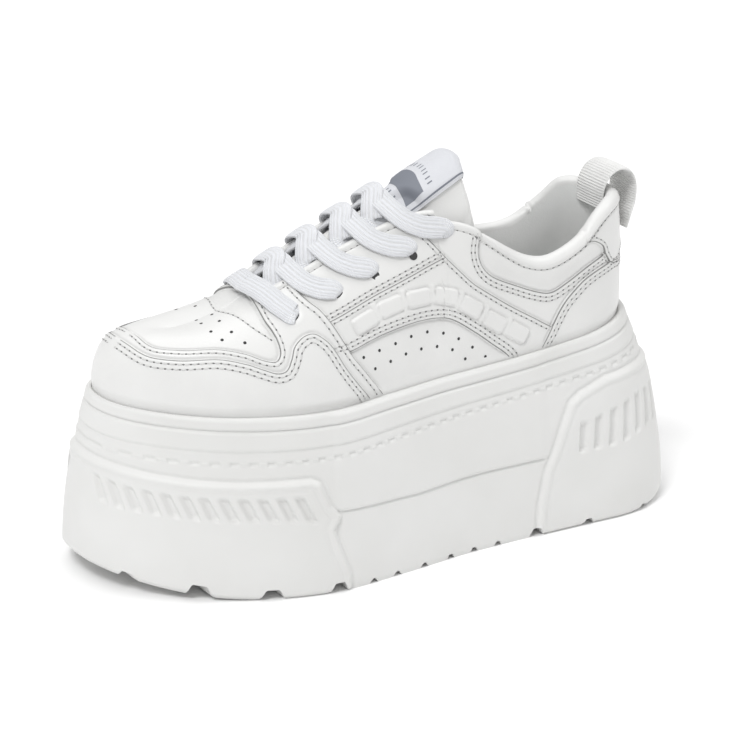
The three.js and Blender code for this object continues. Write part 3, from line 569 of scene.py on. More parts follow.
def material(name, colour, roughness, build=None, **values):
    m = bpy.data.materials.new(name)
    m.use_nodes = True
    m.diffuse_color = (*colour, 1)
    shader = m.node_tree.nodes["Principled BSDF"]
    for key, value in {"Base Color": (*colour, 1), "Roughness": roughness, **values}.items():
        shader.inputs[key.replace("_", " ")].default_value = value
    if build:
        build(m.node_tree)
    return m


LEATHER = material("white_leather", (0.78, 0.78, 0.77), 0.42,
                   leather((0.755, 0.755, 0.745), (0.80, 0.80, 0.79), 0.22), Coat_Weight=0.12,
                   Coat_Roughness=0.3)
LINING = material("pale_lining", (0.78, 0.78, 0.77), 0.8,
                  leather((0.75, 0.76, 0.75), (0.80, 0.80, 0.79), 0.35), Sheen_Weight=0.25)
FOAM = material("sole_foam", (0.755, 0.755, 0.745), 0.5, foam)
THREAD = material("thread", (0.66, 0.66, 0.65), 0.7)
# Near-black painted shade for the insides of the punched holes and the eyelets.
PUNCH_SHADE = material("painted_hole_shade", (0.05, 0.05, 0.05), 0.9)
# Dark grey painted shade for the needle holes between the stitches.
NEEDLE_SHADE = material("painted_needle_shade", (0.2, 0.2, 0.2), 0.9)
# Dark grey of the painted shadow lines along the overlays' edges.
EDGE_SHADE = material("painted_edge_shade", (0.27, 0.27, 0.265), 0.85)
LACE = material("lace_weave", (0.84, 0.85, 0.87), 0.75,
                woven(0.62, 0.62, (0.72, 0.735, 0.77), (0.9, 0.905, 0.92)), Sheen_Weight=0.2)
WEBBING = material("webbing", (0.80, 0.80, 0.79), 0.72,
                   woven(0.3, 1.3, (0.76, 0.76, 0.75), (0.84, 0.84, 0.83), 0.4))
LABEL = material("label_weave", (0.70, 0.71, 0.75), 0.6,
                 woven(1.1, 1.1, (0.66, 0.67, 0.71), (0.75, 0.76, 0.79), 0.35),
                 Sheen_Weight=0.3)
LABEL_GREY = material("label_panel", (0.3, 0.32, 0.35), 0.65,
                      woven(1.0, 1.0, (0.20, 0.215, 0.25), (0.36, 0.38, 0.42), 0.6))

# --- camera, lights and floor

YAW, RISE, ROLL, DISTANCE = 30.585, 19.066, 1.358, 1.5141
TARGET = np.array([0.0, -SOLE_CENTRE_Y / 1000, 0.080])
LENS, SENSOR, SHIFT = 167.36, 36, (-0.00796, -0.02845)
WORLD_STRENGTH, FLOOR_HALF, FLOOR_GREY = 0.44, 4, 0.97
SUNS = [  # name, direction it shines from, spread in degrees, strength
    ("key", (0.8, 0.45, 1.3), 20, 1.45), ("rear", (-1.0, 0.3, 1.1), 30, 0.65),
    ("top", (0.0, -0.4, 1.6), 45, 0.82)]


def build_camera():
    yaw, rise, roll = (math.radians(a) for a in (YAW, RISE, ROLL))
    back = np.array([math.sin(yaw) * math.cos(rise), math.cos(yaw) * math.cos(rise),
                     math.sin(rise)])
    right = unit(np.cross(-back, (0, 0, 1)))
    up = np.cross(right, -back)
    tilted = right * math.cos(roll) + up * math.sin(roll)
    upright = up * math.cos(roll) - right * math.sin(roll)
    data = bpy.data.cameras.new("camera")
    data.sensor_width, data.lens = SENSOR, LENS
    data.shift_x, data.shift_y = SHIFT
    data.clip_start, data.clip_end = 0.05, 50
    camera = place("camera", data)
    at = TARGET + back * DISTANCE
    rows = [(tilted[k], upright[k], back[k], at[k]) for k in range(3)]
    camera.matrix_world = Matrix([*rows, (0, 0, 0, 1)])
    bpy.context.scene.camera = camera


def build_studio():
    world = bpy.data.worlds.new("studio")
    world.use_nodes = True
    background = world.node_tree.nodes["Background"]
    background.inputs["Color"].default_value = (1, 1, 1, 1)
    background.inputs["Strength"].default_value = WORLD_STRENGTH
    bpy.context.scene.world = world
    for name, source, spread, strength in SUNS:
        data = bpy.data.lights.new(name, "SUN")
        data.energy, data.angle = strength, math.radians(spread)
        lamp = place(name, data)
        lamp.location = source
        lamp.rotation_euler = Vector(source).to_track_quat("Z", "Y").to_euler()
    mesh = bpy.data.meshes.new("floor")
    h = FLOOR_HALF
    mesh.from_pydata([(-h, -h, 0), (h, -h, 0), (h, h, 0), (-h, h, 0)], [], [(0, 1, 2, 3)])
    mesh.materials.append(material("floor_paper", (FLOOR_GREY,) * 3, 0.9))
    floor = place("floor", mesh)
    bpy.context.scene.view_settings.view_transform = "Standard"


build_camera()
build_studio()

# --- upper

STATIONS, ROWS, ROLL_ROWS = 600, 150, 6
COLLAR_THICKEST = 0.35


def wall_thickness(s, side, z):
    below = (top_line(s, side) - z) / COLLAR_DEPTH
    share = np.clip(1 - np.abs(below - COLLAR_THICKEST) / (1 - COLLAR_THICKEST), 0, 1)
    along = np.clip((COLLAR_PAD_FRONT - s) / COLLAR_PAD_RUN, 0, 1)
    return mix(UPPER_WALL, COLLAR_WALL, np.sin(share * np.pi / 2) * smooth(along))


def build_upper(side, name, nodes=()):
    t = np.linspace(0, np.pi, STATIONS)[:, None] * np.ones((1, ROWS))
    s = station(t)
    phi = top_phi(s[:, :1], side) * np.linspace(0.02, 1, ROWS)
    out = normal(t, side, phi)
    height = relief(s.ravel(), side, phi.ravel()).reshape(s.shape)
    skin = last(s, side, phi) + out * height[..., None]
    # Rounded rim from the top line to the lining, and none where the two sides meet in front.
    edge, rim = skin[:, -1], last(s[:, -1], side, phi[:, -1])
    inner = rim - out[:, -1] * wall_thickness(s[:, -1], side, rim[:, 2])[:, None]
    rise = unit(edge - skin[:, -3])
    middle, arm = (edge + inner) / 2, (edge - inner) / 2
    reach = np.linalg.norm(arm, axis=1, keepdims=True)
    turn = np.pi * np.arange(1, ROLL_ROWS + 1) / ROLL_ROWS
    roll = np.stack([middle + arm * math.cos(a) + rise * reach * math.sin(a) for a in turn], 1)
    is_open = s[:, 0] < THROAT_FRONT
    roll = np.where(is_open[:, None, None], roll, edge[:, None])
    grid = np.concatenate([skin, roll], axis=1)
    faces = grid_faces(*grid.shape[:2], flip=side < 0)
    station_of, row_of = np.divmod(np.arange(len(faces)), grid.shape[1] - 1)
    faces = faces[is_open[station_of] | (row_of < ROWS - 1)]
    make(name, grid.reshape(-1, 3), faces, LEATHER, nodes)


build_upper(1, "upper_lateral", ("upper",))
build_upper(-1, "upper_medial")


def build_lining():
    parts = Parts()
    rows, columns = 260, 60
    t = np.linspace(0, np.pi, rows)[:, None] * np.ones((1, columns))
    s = station(t)
    for side in (1, -1):
        phi = top_phi(s[:, :1], side) * np.linspace(0.0, 1, columns)
        point = last(s, side, phi)
        thick = wall_thickness(s, side, point[..., 2])
        parts.add(point - normal(t, side, phi) * thick[..., None],
                  grid_faces(rows, columns, flip=side > 0))
    parts.build("lining", LINING, "pale_lining")


build_lining()

# --- stitches and holes

def capsule(length, width, height, sides=6):
    """Low closed capsule along x."""
    a = np.arange(sides) * 2 * np.pi / sides
    rings = [np.stack([np.full(sides, x * length), np.cos(a) * r * width / 2,
                       np.sin(a) * r * height / 2], 1)
             for x, r in ((-0.42, 0.65), (-0.2, 1.0), (0.2, 1.0), (0.42, 0.65))]
    points = np.concatenate([*rings, [[-length / 2, 0, 0], [length / 2, 0, 0]]])
    first, final = len(points) - 2, len(points) - 1
    tri = [corners for i, j, k, m in grid_faces(4, sides, closed=True, flip=True)
           for corners in ((i, j, k), (i, k, m))]
    for j in range(sides):
        k = (j + 1) % sides
        tri += [(first, k, j), (final, 3 * sides + j, 3 * sides + k)]
    return points, np.array(tri)


def disc(radius, sides=12, depth=0.0):
    a = np.arange(sides) * 2 * np.pi / sides
    rim = np.stack([np.cos(a) * radius, np.sin(a) * radius, np.zeros(sides)], 1)
    tri = np.array([(j, (j + 1) % sides, sides) for j in range(sides)])
    return np.concatenate([rim, [[0, 0, depth]]]), tri


def surface(line, side):
    """Places on the finished leather along a line of (s, phi), and their normals."""
    out = normal(station_t(line[:, 0]), side, line[:, 1])
    height = relief(line[:, 0], side, line[:, 1])
    return on_line(line, side) + out * height[:, None], out


def beside(line, side, distance):
    """The line moved sideways over the last; positive distance is to its left, seen from
    outside on the lateral side."""
    s, phi = line[:, 0], line[:, 1]
    tangent = unit(np.gradient(on_line(line, side), axis=0))
    out = normal(station_t(s), side, phi)
    move = unit(np.cross(out, tangent)) * distance * side
    step = 1e-4
    along = (last(s + step, side, phi) - last(s - step, side, phi)) / (2 * step)
    rise = (last(s, side, phi + step) - last(s, side, phi - step)) / (2 * step)
    aa, ab, bb = (along * along).sum(1), (along * rise).sum(1), (rise * rise).sum(1)
    am, bm = (along * move).sum(1), (rise * move).sum(1)
    det = aa * bb - ab * ab
    ds, dp = (bb * am - ab * bm) / det, (aa * bm - ab * am) / det
    return np.stack([np.clip(s + ds, 0.0005, 0.9995), np.clip(phi + dp, 0.01, np.pi / 2)], 1)


def spaced(line, side, pitch=None, count=None):
    """(s, phi) of places along the line, every pitch millimetres or count of them evenly."""
    run = run_along(on_line(line, side))
    at = np.arange(pitch / 2, run[-1], pitch) if pitch else np.linspace(0, run[-1], count)
    return np.stack([np.interp(at, run, line[:, k]) for k in (0, 1)], 1)


# Stitches, and dark marks of painted shade at the needle holes, the punched holes and the overlays'
# edges.
stitch_points, needle_shade_points, punch_shade_points, edge_shade_strips = Parts(), Parts(), Parts(), Parts()
STITCH_PITCH = 3.1
STITCH = capsule(1.95, 0.72, 0.5)
NEEDLE_HOLE = capsule(1.1, 0.68, 0.32)
PUNCH = disc(0.72)
EYELET_HOLE = disc(1.9, 24, -0.2)
EYELET_SHIFT = 1.1


def scatter(parts, template, where, tangent, out, lift):
    """Copies of a template, its x along the tangent and its z along the normal."""
    if not len(where):
        return
    points, tri = template
    across = np.cross(out, tangent)
    placed = (where[:, None] + points[None, :, :1] * tangent[:, None]
              + points[None, :, 1:2] * across[:, None]
              + (points[None, :, 2:] + lift) * out[:, None])
    starts = (np.arange(len(where)) * len(points))[:, None, None]
    parts.add(placed, (tri[None] + starts).reshape(-1, 3))


def within(name):
    return lambda line: inside(line[:, 0], line[:, 1], AREAS[name])


def outside_of(*names):
    return lambda line: ~np.any([within(name)(line) for name in names], axis=0)


STITCH_ROWS = [  # seam, distances of its rows from it, where they may show
    ("strip", (1.7,), within("front")), ("mudguard", (1.6, 3.6), within("mudguard")),
    ("band", (-2.3,), within("front")), ("window", (1.7, 3.6), within("panel")),
    ("eyestay", (1.3, 3.0, -1.4), outside_of("front")), ("panel", (-1.6,), outside_of("counter")),
    ("pad", (-1.7, -3.5), outside_of("tab", "counter")),
    ("counter", (1.7, 3.5), within("counter")), ("tab", (1.6,), within("tab")),
    ("vamp", (-1.5,), outside_of("front"))]
# Seams whose edges get a dark strip of painted shadow, for the thin shadow line under an overlay's
# edge.
EDGE_SHADES = [  # seam, pieces that cover it
    ("strip", ("mudguard",)), ("mudguard", ()), ("band", ("mudguard",)),
    ("window", ("front", "counter")), ("eyestay", ("front",)), ("panel", ("counter", "front")),
    ("pad", ("tab", "counter")), ("counter", ()), ("tab", ())]
WINDOW_HOLES = [  # line of the row, holes
    ([(0.603, 24.5), (0.565, 24), (0.532, 23.6), (0.497, 23.2), (0.46, 21.8), (0.425, 19),
      (0.393, 15.7), (0.365, 12.3), (0.34, 9.2)], 9),
    ([(0.58, 19), (0.547, 19), (0.512, 19), (0.478, 18.2), (0.44, 16.5), (0.408, 13.8),
      (0.383, 10.5)], 7)]
TOE_HOLES = [  # x, distance from the ridge
    (232, 0.5), (233, 7), (233, 16), (231, 22), (226, 2), (227, 11), (226, 20), (223, 26)]


def showing(line, side, points, margin, lift, keep):
    """Which places of a line lie below the top line, above the foxing and where keep allows."""
    ok = line[:, 1] < top_phi(line[:, 0], side) - margin
    return ok & (points[:, 2] > foxing_height(points[:, 0]) + lift) & keep(line)


def stitch_row(line, side, keep):
    """One row of stitches with dark capsules of painted shade for the needle holes between them."""
    dense = spaced(line, side, STITCH_PITCH / 2)
    where, out = surface(dense, side)
    tangent = unit(np.gradient(where, axis=0))
    out = unit(out - tangent * (out * tangent).sum(1, keepdims=True))
    ok = showing(dense, side, where, 0.015, 0.4, keep)
    even = np.arange(len(dense)) % 2 == 0
    for parts, template, pick, lift in ((stitch_points, STITCH, ok & even, 0.08),
                                        (needle_shade_points, NEEDLE_HOLE, ok & ~even, 0.0)):
        scatter(parts, template, where[pick], tangent[pick], out[pick], lift)


def build_stitches(side):
    for name, distances, keep in STITCH_ROWS:
        for distance in distances:
            line = beside(LINES[name], side, distance)
            if keep(line).mean() < 0.5:
                line = beside(LINES[name], side, -distance)
            stitch_row(line, side, keep)
    s = np.linspace(0.02, 0.745, 500)
    stitch_row(beside(np.stack([s, top_phi(s, side)], 1), side, 2.5), side, outside_of())


def build_edge_shades(side):
    """Painted shadow: dark narrow strips along the overlays' seams, standing for the thin shadow
    line at each edge.
    """
    for name, covers in EDGE_SHADES:
        line = spaced(LINES[name], side, 0.8)
        edges = [surface(beside(line, side, shift), side) for shift in (-0.17, 0.17)]
        grid = np.stack([where + out * 0.13 for where, out in edges], 1)
        ok = showing(line, side, grid[:, 0], 0.02, 0.3, outside_of(*covers))
        faces = grid_faces(*grid.shape[:2])[ok[:-1] & ok[1:]]
        used, places = np.unique(faces, return_inverse=True)
        if len(used):
            edge_shade_strips.add(grid.reshape(-1, 3)[used], places.reshape(faces.shape))


# Near-black discs of painted shade stand for the window's and toe's perforations and the eyelet
# holes.
def build_holes(side):
    for rows, count in WINDOW_HOLES:
        where, out = surface(spaced(seam(rows, 200), side, count=count), side)
        scatter(punch_shade_points, PUNCH, where, unit(np.cross((0, 0, 1), out)), out, 0.05)
    singles = [(x, offset, PUNCH, 0.06) for x, offset in TOE_HOLES if side > 0 or offset >= 10]
    singles += [(x - EYELET_SHIFT, y + EYELET_SHIFT, EYELET_HOLE, 0.45) for x, y, _ in EYELETS[:-1]]
    for x, offset, template, lift in singles:
        at, _, angle = on_last(x, side * offset)
        where, out = surface(np.array([(at, angle)]), side)
        scatter(punch_shade_points, template, where, unit(np.cross((0, 1, 0), out)), out, lift)


for shoe_side in (1, -1):
    build_stitches(shoe_side)
    build_edge_shades(shoe_side)
    build_holes(shoe_side)
for shoe_parts, shoe_name, shoe_look in (
        (edge_shade_strips, "painted_edge_shades", EDGE_SHADE), (stitch_points, "stitching", THREAD),
        (needle_shade_points, "painted_needle_shades", NEEDLE_SHADE), (punch_shade_points, "painted_hole_shades", PUNCH_SHADE)):
    shoe_parts.build(shoe_name, shoe_look, "white_leather")

# --- sole

SOLE_STATIONS, WALL_ROWS, BOTTOM_COLUMNS = 470, 150, 24

WALL = np.array([  # height share, lean share, as the plain wall
    (0.0, 0.02), (0.03, 0.0), (0.2, 0.05), (0.4, 0.19), (0.6, 0.36), (0.78, 0.61), (0.92, 0.87),
    (1.0, 1.0)], float)


def notch(x):
    """Depth of the tread's grooves at x."""
    depth = np.zeros_like(x)
    for at, width, deep in GROOVES:
        share = np.clip((width / 2 + 0.6 - np.abs(x - at)) / (width / 4 + 0.6), 0, 1)
        depth = np.maximum(depth, deep * smooth(share))
    return depth


def plate(x, z, rows):
    """Signed distance inside an area of the wall bounded by a polygon of (x, height)."""
    polygon = np.array(rows, float)
    places = np.stack([x.ravel(), z.ravel()], 1)
    gap = near_line(places, np.concatenate([polygon, polygon[:1]]), 30.0)
    return np.where(inside(*places.T, polygon), gap, -gap).reshape(x.shape)


TOE_WRAP = [(300, 55), (280, 54.4), (265, 52.2), (252, 51.1), (234, 50.3), (206, 50.3),
            (202, 48.5), (197.7, 38.5), (193.1, 33.3), (196.3, 28), (193.8, 19.7), (189, 8),
            (188, -5), (300, -5)]
HEEL_WRAP = [(-10, 67), (30, 66.5), (48, 65.2), (61.6, 60.6), (67.1, 57.1), (71.2, 48.8),
             (76.7, 36.1), (80.5, 29.4), (84.4, 14.1), (85, -5), (-10, -5)]
TOE_SLOTS = np.array([  # x, bottom, top of the slots sunk in the toe's wrap
    (202, 31.5, 43.6), (211, 32.8, 44.1), (226, 34.2, 44.3), (240, 34.5, 44.8),
    (255, 35.5, 45.2), (268, 36.2, 46.3), (275, 36.5, 47.2), (281, 38, 48.7)], float)
HEEL_SLOTS = np.array([  # x, bottom, top of the slots sunk in the heel's wrap
    (8, 38.5, 55.5), (28, 37.5, 55), (35, 35.9, 53.8), (42, 34.7, 52.2), (50, 34.4, 50.4),
    (58, 34.3, 48)], float)
TOE_SLOT_START, TOE_SLOT_PITCH, TOE_SLOT_COUNT, TOE_SLOT_LEAN = 109.5, 8.25, 12, 0.56
HEEL_SLOT_START, HEEL_SLOT_PITCH, HEEL_SLOT_COUNT, HEEL_SLOT_LEAN = 58.5, 8.1, 9, -0.22
TOE_SLOT_DEPTH, HEEL_SLOT_DEPTH, WRAP_RISE = 1.9, 1.8, 1.3
CREASE = [(60, 36), (76.7, 35.2), (116, 35.4), (150, 34.3), (193, 35.8), (215, 37)]  # x, height
MOULDED_PITCH = 7.2


def wall_relief(x, z, top, run):
    """Height of the mouldings over the plain wall of the sole, by place and height."""
    h = np.zeros_like(x)
    below = top - z
    h += 0.35 * smooth((5.6 - below) / 1.2)                       # foxing's rounded top rail
    h -= 0.75 * ridge(below, 5.2, 0.6)                            # groove under the rail
    band = mix(12.0, 13.2, smooth((x - 60) / 160))
    h += 0.45 * smooth((band + 0.8 - below) / 1.6) * smooth((below - 5.2) / 1)
    h -= 0.4 * ridge(below, band + 0.5, 0.55)
    stitch_at = mix(15.7, 18.6, smooth((x - 70) / 150))
    h -= 0.8 * ridge(below, stitch_at, 0.75)                      # channel of the moulded stitches
    dash = smooth(0.5 + 1.6 * np.sin(x * 2 * np.pi / MOULDED_PITCH))
    h += 1.1 * ridge(below, stitch_at, 0.6) * dash
    # Crease along the middle of the wall between the two wraps.
    line = np.interp(x, *zip(*CREASE))
    middle = smooth((x - 78) / 6) * smooth((196 - x) / 5)
    h += middle * (0.6 * smooth((z - line + 0.8) / 1.6) - 0.75 * ridge(z, line - 0.7, 0.6))
    # Wraps at the toe and the heel, standing proud, with slashes sunk in them.
    for rows in (TOE_WRAP, HEEL_WRAP):
        gap = plate(x, z, rows)
        share = smooth(0.5 + gap / 2.2)
        h = mix(h, WRAP_RISE, share) - 0.55 * ridge(gap, -1.3, 0.7) * (1 - share)
        h += share * (0.3 * ridge(gap, 1.6, 1.0) - 0.3 * ridge(gap, 3.6, 0.9))
    h -= slashes(run, z, run[-1, 0] - TOE_SLOT_START, TOE_SLOT_PITCH, TOE_SLOT_COUNT,
                 column(TOE_SLOTS, x), column(TOE_SLOTS, x, 2), TOE_SLOT_LEAN,
                 TOE_SLOT_DEPTH)
    start = np.interp(HEEL_SLOT_START, x[:, 0], run[:, 0])
    h -= slashes(run, z, start - HEEL_SLOT_PITCH * (HEEL_SLOT_COUNT - 1), HEEL_SLOT_PITCH,
                 HEEL_SLOT_COUNT, column(HEEL_SLOTS, x), column(HEEL_SLOTS, x, 2),
                 HEEL_SLOT_LEAN, HEEL_SLOT_DEPTH)
    return h


def slashes(run, z, first, pitch, count, bottom, top, lean, depth):
    """Leaning slots sunk in a wrap along its run, from the height bottom to top."""
    across = run - (z - bottom) * lean
    nearest = first + pitch * np.clip(np.round((across - first) / pitch), 0, count - 1)
    width = pitch * 0.27
    off = (across - nearest) * np.sign(lean)
    body = smooth((width - off) / 2.6 + 0.3) * smooth((width + off) / 0.9 + 0.5)
    ends = smooth((z - bottom) / 2.4 + 0.3) * smooth((top - z) / 3.0 + 0.3)
    return depth * body * ends


def build_sole():
    parts = Parts()
    borders = []
    for side in (1, -1):
        t = np.linspace(0, np.pi, SOLE_STATIONS)[:, None] * np.ones((1, WALL_ROWS))
        s = station(t)
        share = np.linspace(0, 1, WALL_ROWS)[None] * np.ones_like(t)
        lean = column(WALL, share)

        def wall(t_):
            inner, flip = fold(t_)
            s_ = station(inner)
            x = mix(FOXING_HEEL_X * lean, mix(SOLE_LENGTH, FOXING_TOE_X, lean), s_)
            half = column(GROUND, s_, 2) - column(GROUND, s_, 3) * lean
            return x, column(GROUND, s_, 1) + side * flip * half * end_round(s_, side * flip)

        x, y = wall(t)
        xa, ya = wall(t + 1e-3)
        xb, yb = wall(t - 1e-3)
        out = unit(np.stack([-(ya - yb), xa - xb, np.zeros_like(x)], -1) * side)
        top = foxing_height(mix(FOXING_HEEL_X, FOXING_TOE_X, s))
        low = ground_height(s)
        z = mix(low, top, share)
        middle = np.stack([x[:, 60], y[:, 60]], 1)
        run = run_along(middle)[:, None] * np.ones((1, WALL_ROWS))
        height = wall_relief(x, z, top, run) - 0.5
        height = mix(np.minimum(height, -0.6), height, smooth((z - low) / 2.2 + 0.1))
        height = mix(-0.75, height, smooth((top - z) / 1.4))
        grid = np.stack([x, y, np.maximum(z, low + notch(x))], -1) + out * height[..., None]
        # Lip, and the cup's wall down to the insole's level.
        foot = Rib(s[:, 0], side)
        lip = []
        for depth in (0.0, 2.0, FEATHER_SINK):
            phi = arch_at_up(np.clip((FEATHER_SINK - depth) / (foot.head_z - foot.foot_z), 0, 1),
                             foot.swell)
            point = last(s[:, 0], side, phi)
            n = normal(t[:, 0], side, phi)
            n[:, 2] = 0
            point = point + unit(n) * FIT_GAP
            point[:, 2] = foot.foot_z + FEATHER_SINK - depth
            lip.append(point)
        grid = np.concatenate([grid, np.stack(lip, 1)], 1)
        parts.add(grid, grid_faces(*grid.shape[:2], flip=side < 0))
        borders.append((grid[:, 0], grid[:, -1]))
    for (left, right), up in zip(zip(*borders), (False, True)):
        share = np.linspace(0, 1, BOTTOM_COLUMNS)[None, :, None]
        sheet = mix(left[:, None], right[:, None], share)
        if not up:
            mid = 4 * share[..., 0] * (1 - share[..., 0])
            low = ground_height(station(np.linspace(0, np.pi, SOLE_STATIONS)))[:, None]
            rib = np.where(np.abs(share[..., 0] - 0.5) < 0.06, 1.4, 0.0) * np.minimum(mid, 1)
            sheet[..., 2] = low + np.maximum(notch(sheet[..., 0]), rib)
            sheet[:, 0, 2], sheet[:, -1, 2] = left[:, 2], right[:, 2]
        parts.add(sheet, grid_faces(*sheet.shape[:2], flip=not up))
    parts.build("platform_sole", FOAM, "sole_foam", ("sole",))


build_sole()

# --- insole

def build_insole():
    parts = Parts()
    rows, columns = 240, 60
    t = np.linspace(0.02, np.pi - 0.02, rows)
    edges = []
    for side in (1, -1):
        n = normal(t, side, 0.0)
        n[:, 2] = 0
        edges.append(last(station(t), side, 0.0) - unit(n) * (UPPER_WALL + 0.5))
    share = np.linspace(-1, 1, columns)
    left, right = edges
    grid = mix(right[:, None], left[:, None], (share[None, :, None] + 1) / 2)
    dish = INSOLE_THICKNESS - 1.2 + 1.4 * np.abs(share) ** 3
    grid[..., 2] += (dish - 0.35 * ridge(np.abs(share), 0.84, 0.02))[None]
    heel = ridge(station(t), 0.12, 0.12)
    grid[..., 2] -= 0.6 * heel[:, None] * (1 - share ** 2)[None]
    parts.add(grid, grid_faces(rows, columns))
    parts.build("footbed", LINING, "pale_lining", ("insole",))


build_insole()

# --- tongue and its label

def tongue_point(s, across, depth):
    """Places under the last by distance from the ridge and depth in the pad, and normals."""
    side = np.where(across < 0, -1, 1)
    r = Rib(s, side)
    phi = arch_at_out(np.clip(np.abs(across) / r.half, 0, 1), r.swell)
    under = column(TONGUE, s, 2)
    tuck = smooth((np.abs(across) - column(TONGUE, s, 3)) / TONGUE_TUCK)
    sink = np.maximum(under, mix(under, UPPER_WALL + TONGUE_DROP, tuck))
    out = normal(station_t(s), side, phi)
    # The two sides' normals are blended over the ridge so that the pad stays smooth.
    blend = smooth(np.abs(across) / 8)[..., None]
    ridge_out = normal(station_t(s), side, np.full(np.shape(s), np.pi / 2))
    out = unit(mix(ridge_out, out, blend))
    return last(s, side, phi) - out * (sink + depth)[..., None], out


def build_tongue():
    rows, columns = 180, 90
    share = np.linspace(0, 1, rows)[:, None] * np.ones((1, columns))
    v = np.sin(np.linspace(-1, 1, columns) * np.pi / 2)[None] * np.ones((rows, 1))
    s = mix(TONGUE[0, 0], TONGUE[-1, 0], share ** 1.4)
    half = column(TONGUE, s, 1)
    at = s + TONGUE_TOP_ARCH * (1 - v * v) * (1 - share)
    end = np.clip(share * 26, 0, 1)
    round_side = np.sqrt(np.clip(1 - np.abs(v) ** 5, 0, 1))
    round_end = np.sqrt(np.clip(1 - (1 - end) ** 2.2, 0, 1))
    pad = np.clip(round_side * round_end, 0.0, 1)
    half_thick = TONGUE_THICKNESS / 2
    border = 0.45 * ridge((1 - np.abs(v)) * half, 4.6, 0.55) * smooth((0.35 - share) / 0.05)
    border += 0.45 * ridge(share * 130, 5.0, 0.7)
    face, _ = tongue_point(at, v * half, half_thick * (1 - pad) + border)
    back, _ = tongue_point(at, v * half, half_thick * (1 + pad))
    loop = np.concatenate([face, back[:, ::-1]], 1)
    piece = make("tongue_pad", loop.reshape(-1, 3), grid_faces(rows, 2 * columns, closed=True),
                 LEATHER, ("tongue",))


build_tongue()


def ribbon(name, centre, across, up, width, thick, look, node, sides, wave=0.0):
    """Flat strip with rounded edges along frames; width, thick and wave may vary along it."""
    count = len(centre)
    width, thick, wave = (np.broadcast_to(v, (count,))[:, None, None]
                          for v in (width, thick, wave))
    a = np.linspace(0, 2 * np.pi, sides, endpoint=False)
    c, s = np.cos(a), np.sin(a)
    x = (np.sign(c) * np.abs(c) ** 0.7)[None, :, None]
    z = (np.sign(s) * np.abs(s) ** 0.75)[None, :, None]
    ribbed = (np.sign(s) * (np.abs(s) > 0.3))[None, :, None]
    grid = (centre[:, None] + across[:, None] * x * width / 2
            + up[:, None] * (z * thick / 2 + ribbed * wave))
    u = np.broadcast_to(run_along(centre)[:, None], (count, sides))
    v = np.broadcast_to(c[None] * width[0, 0, 0] / 2, (count, sides))
    faces = grid_faces(count, sides, closed=True).tolist()
    faces.append(list(range(sides - 1, -1, -1)))
    faces.append([(count - 1) * sides + j for j in range(sides)])
    make(name, grid.reshape(-1, 3), faces, look, node, np.stack([u.ravel(), v.ravel()], 1))


LABEL_THICKNESS, LABEL_LIFT, LABEL_ARCH_HALF, LABEL_MARK_LIFT = 1.3, 1.1, 38, 0.07
LABEL_MARKS = [(5.0, 15.5, -7.0, 12.6), (-1.0, 60.0, 14.4, 15.2)]  # panel, hem line
for tick in range(9):
    for tick_from, tick_to in ((18.0, 21.0), (0.0, 2.6)):
        LABEL_MARKS.append((tick_from, tick_to, -7.5 + 2.3 * tick, -6.5 + 2.3 * tick))


def build_label():
    """Strap over the tongue, folded round its top edge and down its back."""
    rows, columns = 130, 64
    across = np.linspace(-1, 1, columns)
    lengths = np.linspace(0, 1, rows)
    grid = np.empty((rows, columns, 3))
    radius = TONGUE_THICKNESS / 2 + 1.2
    turn = np.linspace(0, np.pi, 24)[1:]
    for j, offset in enumerate(across * LABEL_HALF):
        arch_share = 1 - (offset / LABEL_ARCH_HALF) ** 2
        s = np.linspace(LABEL_TO + 0.02, TONGUE[0, 0] + TONGUE_TOP_ARCH * arch_share + 0.004, 90)
        face, out = tongue_point(s, np.full(len(s), offset), np.full(len(s), -LABEL_LIFT))
        forward = unit(face[-1] - face[-6])
        bend = (face[-1] + forward[None] * (radius * np.sin(turn))[:, None] * 0.9
                - out[-1][None] * (radius * (1 - np.cos(turn)))[:, None])
        back = bend[-1] - forward[None] * np.linspace(0.5, 9, 12)[:, None]
        path = np.concatenate([face, bend, back])
        run = run_along(path)
        grid[:, j] = np.stack([np.interp(lengths * run[-1], run, path[:, k]) for k in range(3)], 1)
    out = unit(np.cross(np.gradient(grid, axis=1), np.gradient(grid, axis=0)))
    out = out * np.sign(out[10, columns // 2, 2])
    edge = np.sqrt(np.clip(1 - np.abs(across) ** 12, 0, 1))[None, :, None]
    half = out * LABEL_THICKNESS / 2 * edge
    outer, inner = grid + half, grid - half
    loop = np.concatenate([outer, inner[:, ::-1]], 1)
    along = lengths * run_along(grid[:, columns // 2])[-1]
    uv = np.stack(np.meshgrid(along, across * LABEL_HALF, indexing="ij"), -1)
    uv = np.concatenate([uv, uv[:, ::-1]], 1).reshape(-1, 2)
    make("tongue_strap", loop.reshape(-1, 3), grid_faces(rows, 2 * columns, closed=True), LABEL,
         ("tongue_label",), uv)
    # Grey woven panel, hem line and rows of plain ticks, just proud of the strap.
    parts = Parts()
    lift = outer + out * LABEL_MARK_LIFT
    for u0, u1, v0, v1 in LABEL_MARKS:
        i = np.nonzero((along > u0) & (along < u1))[0]
        j = np.nonzero((across * LABEL_HALF > v0) & (across * LABEL_HALF < v1))[0]
        if len(i) > 1 and len(j) > 1:
            parts.add(lift[np.ix_(i, j)], grid_faces(len(i), len(j), flip=True))
    parts.build("strap_panel", LABEL_GREY, "label_weave")


build_label()

# --- laces

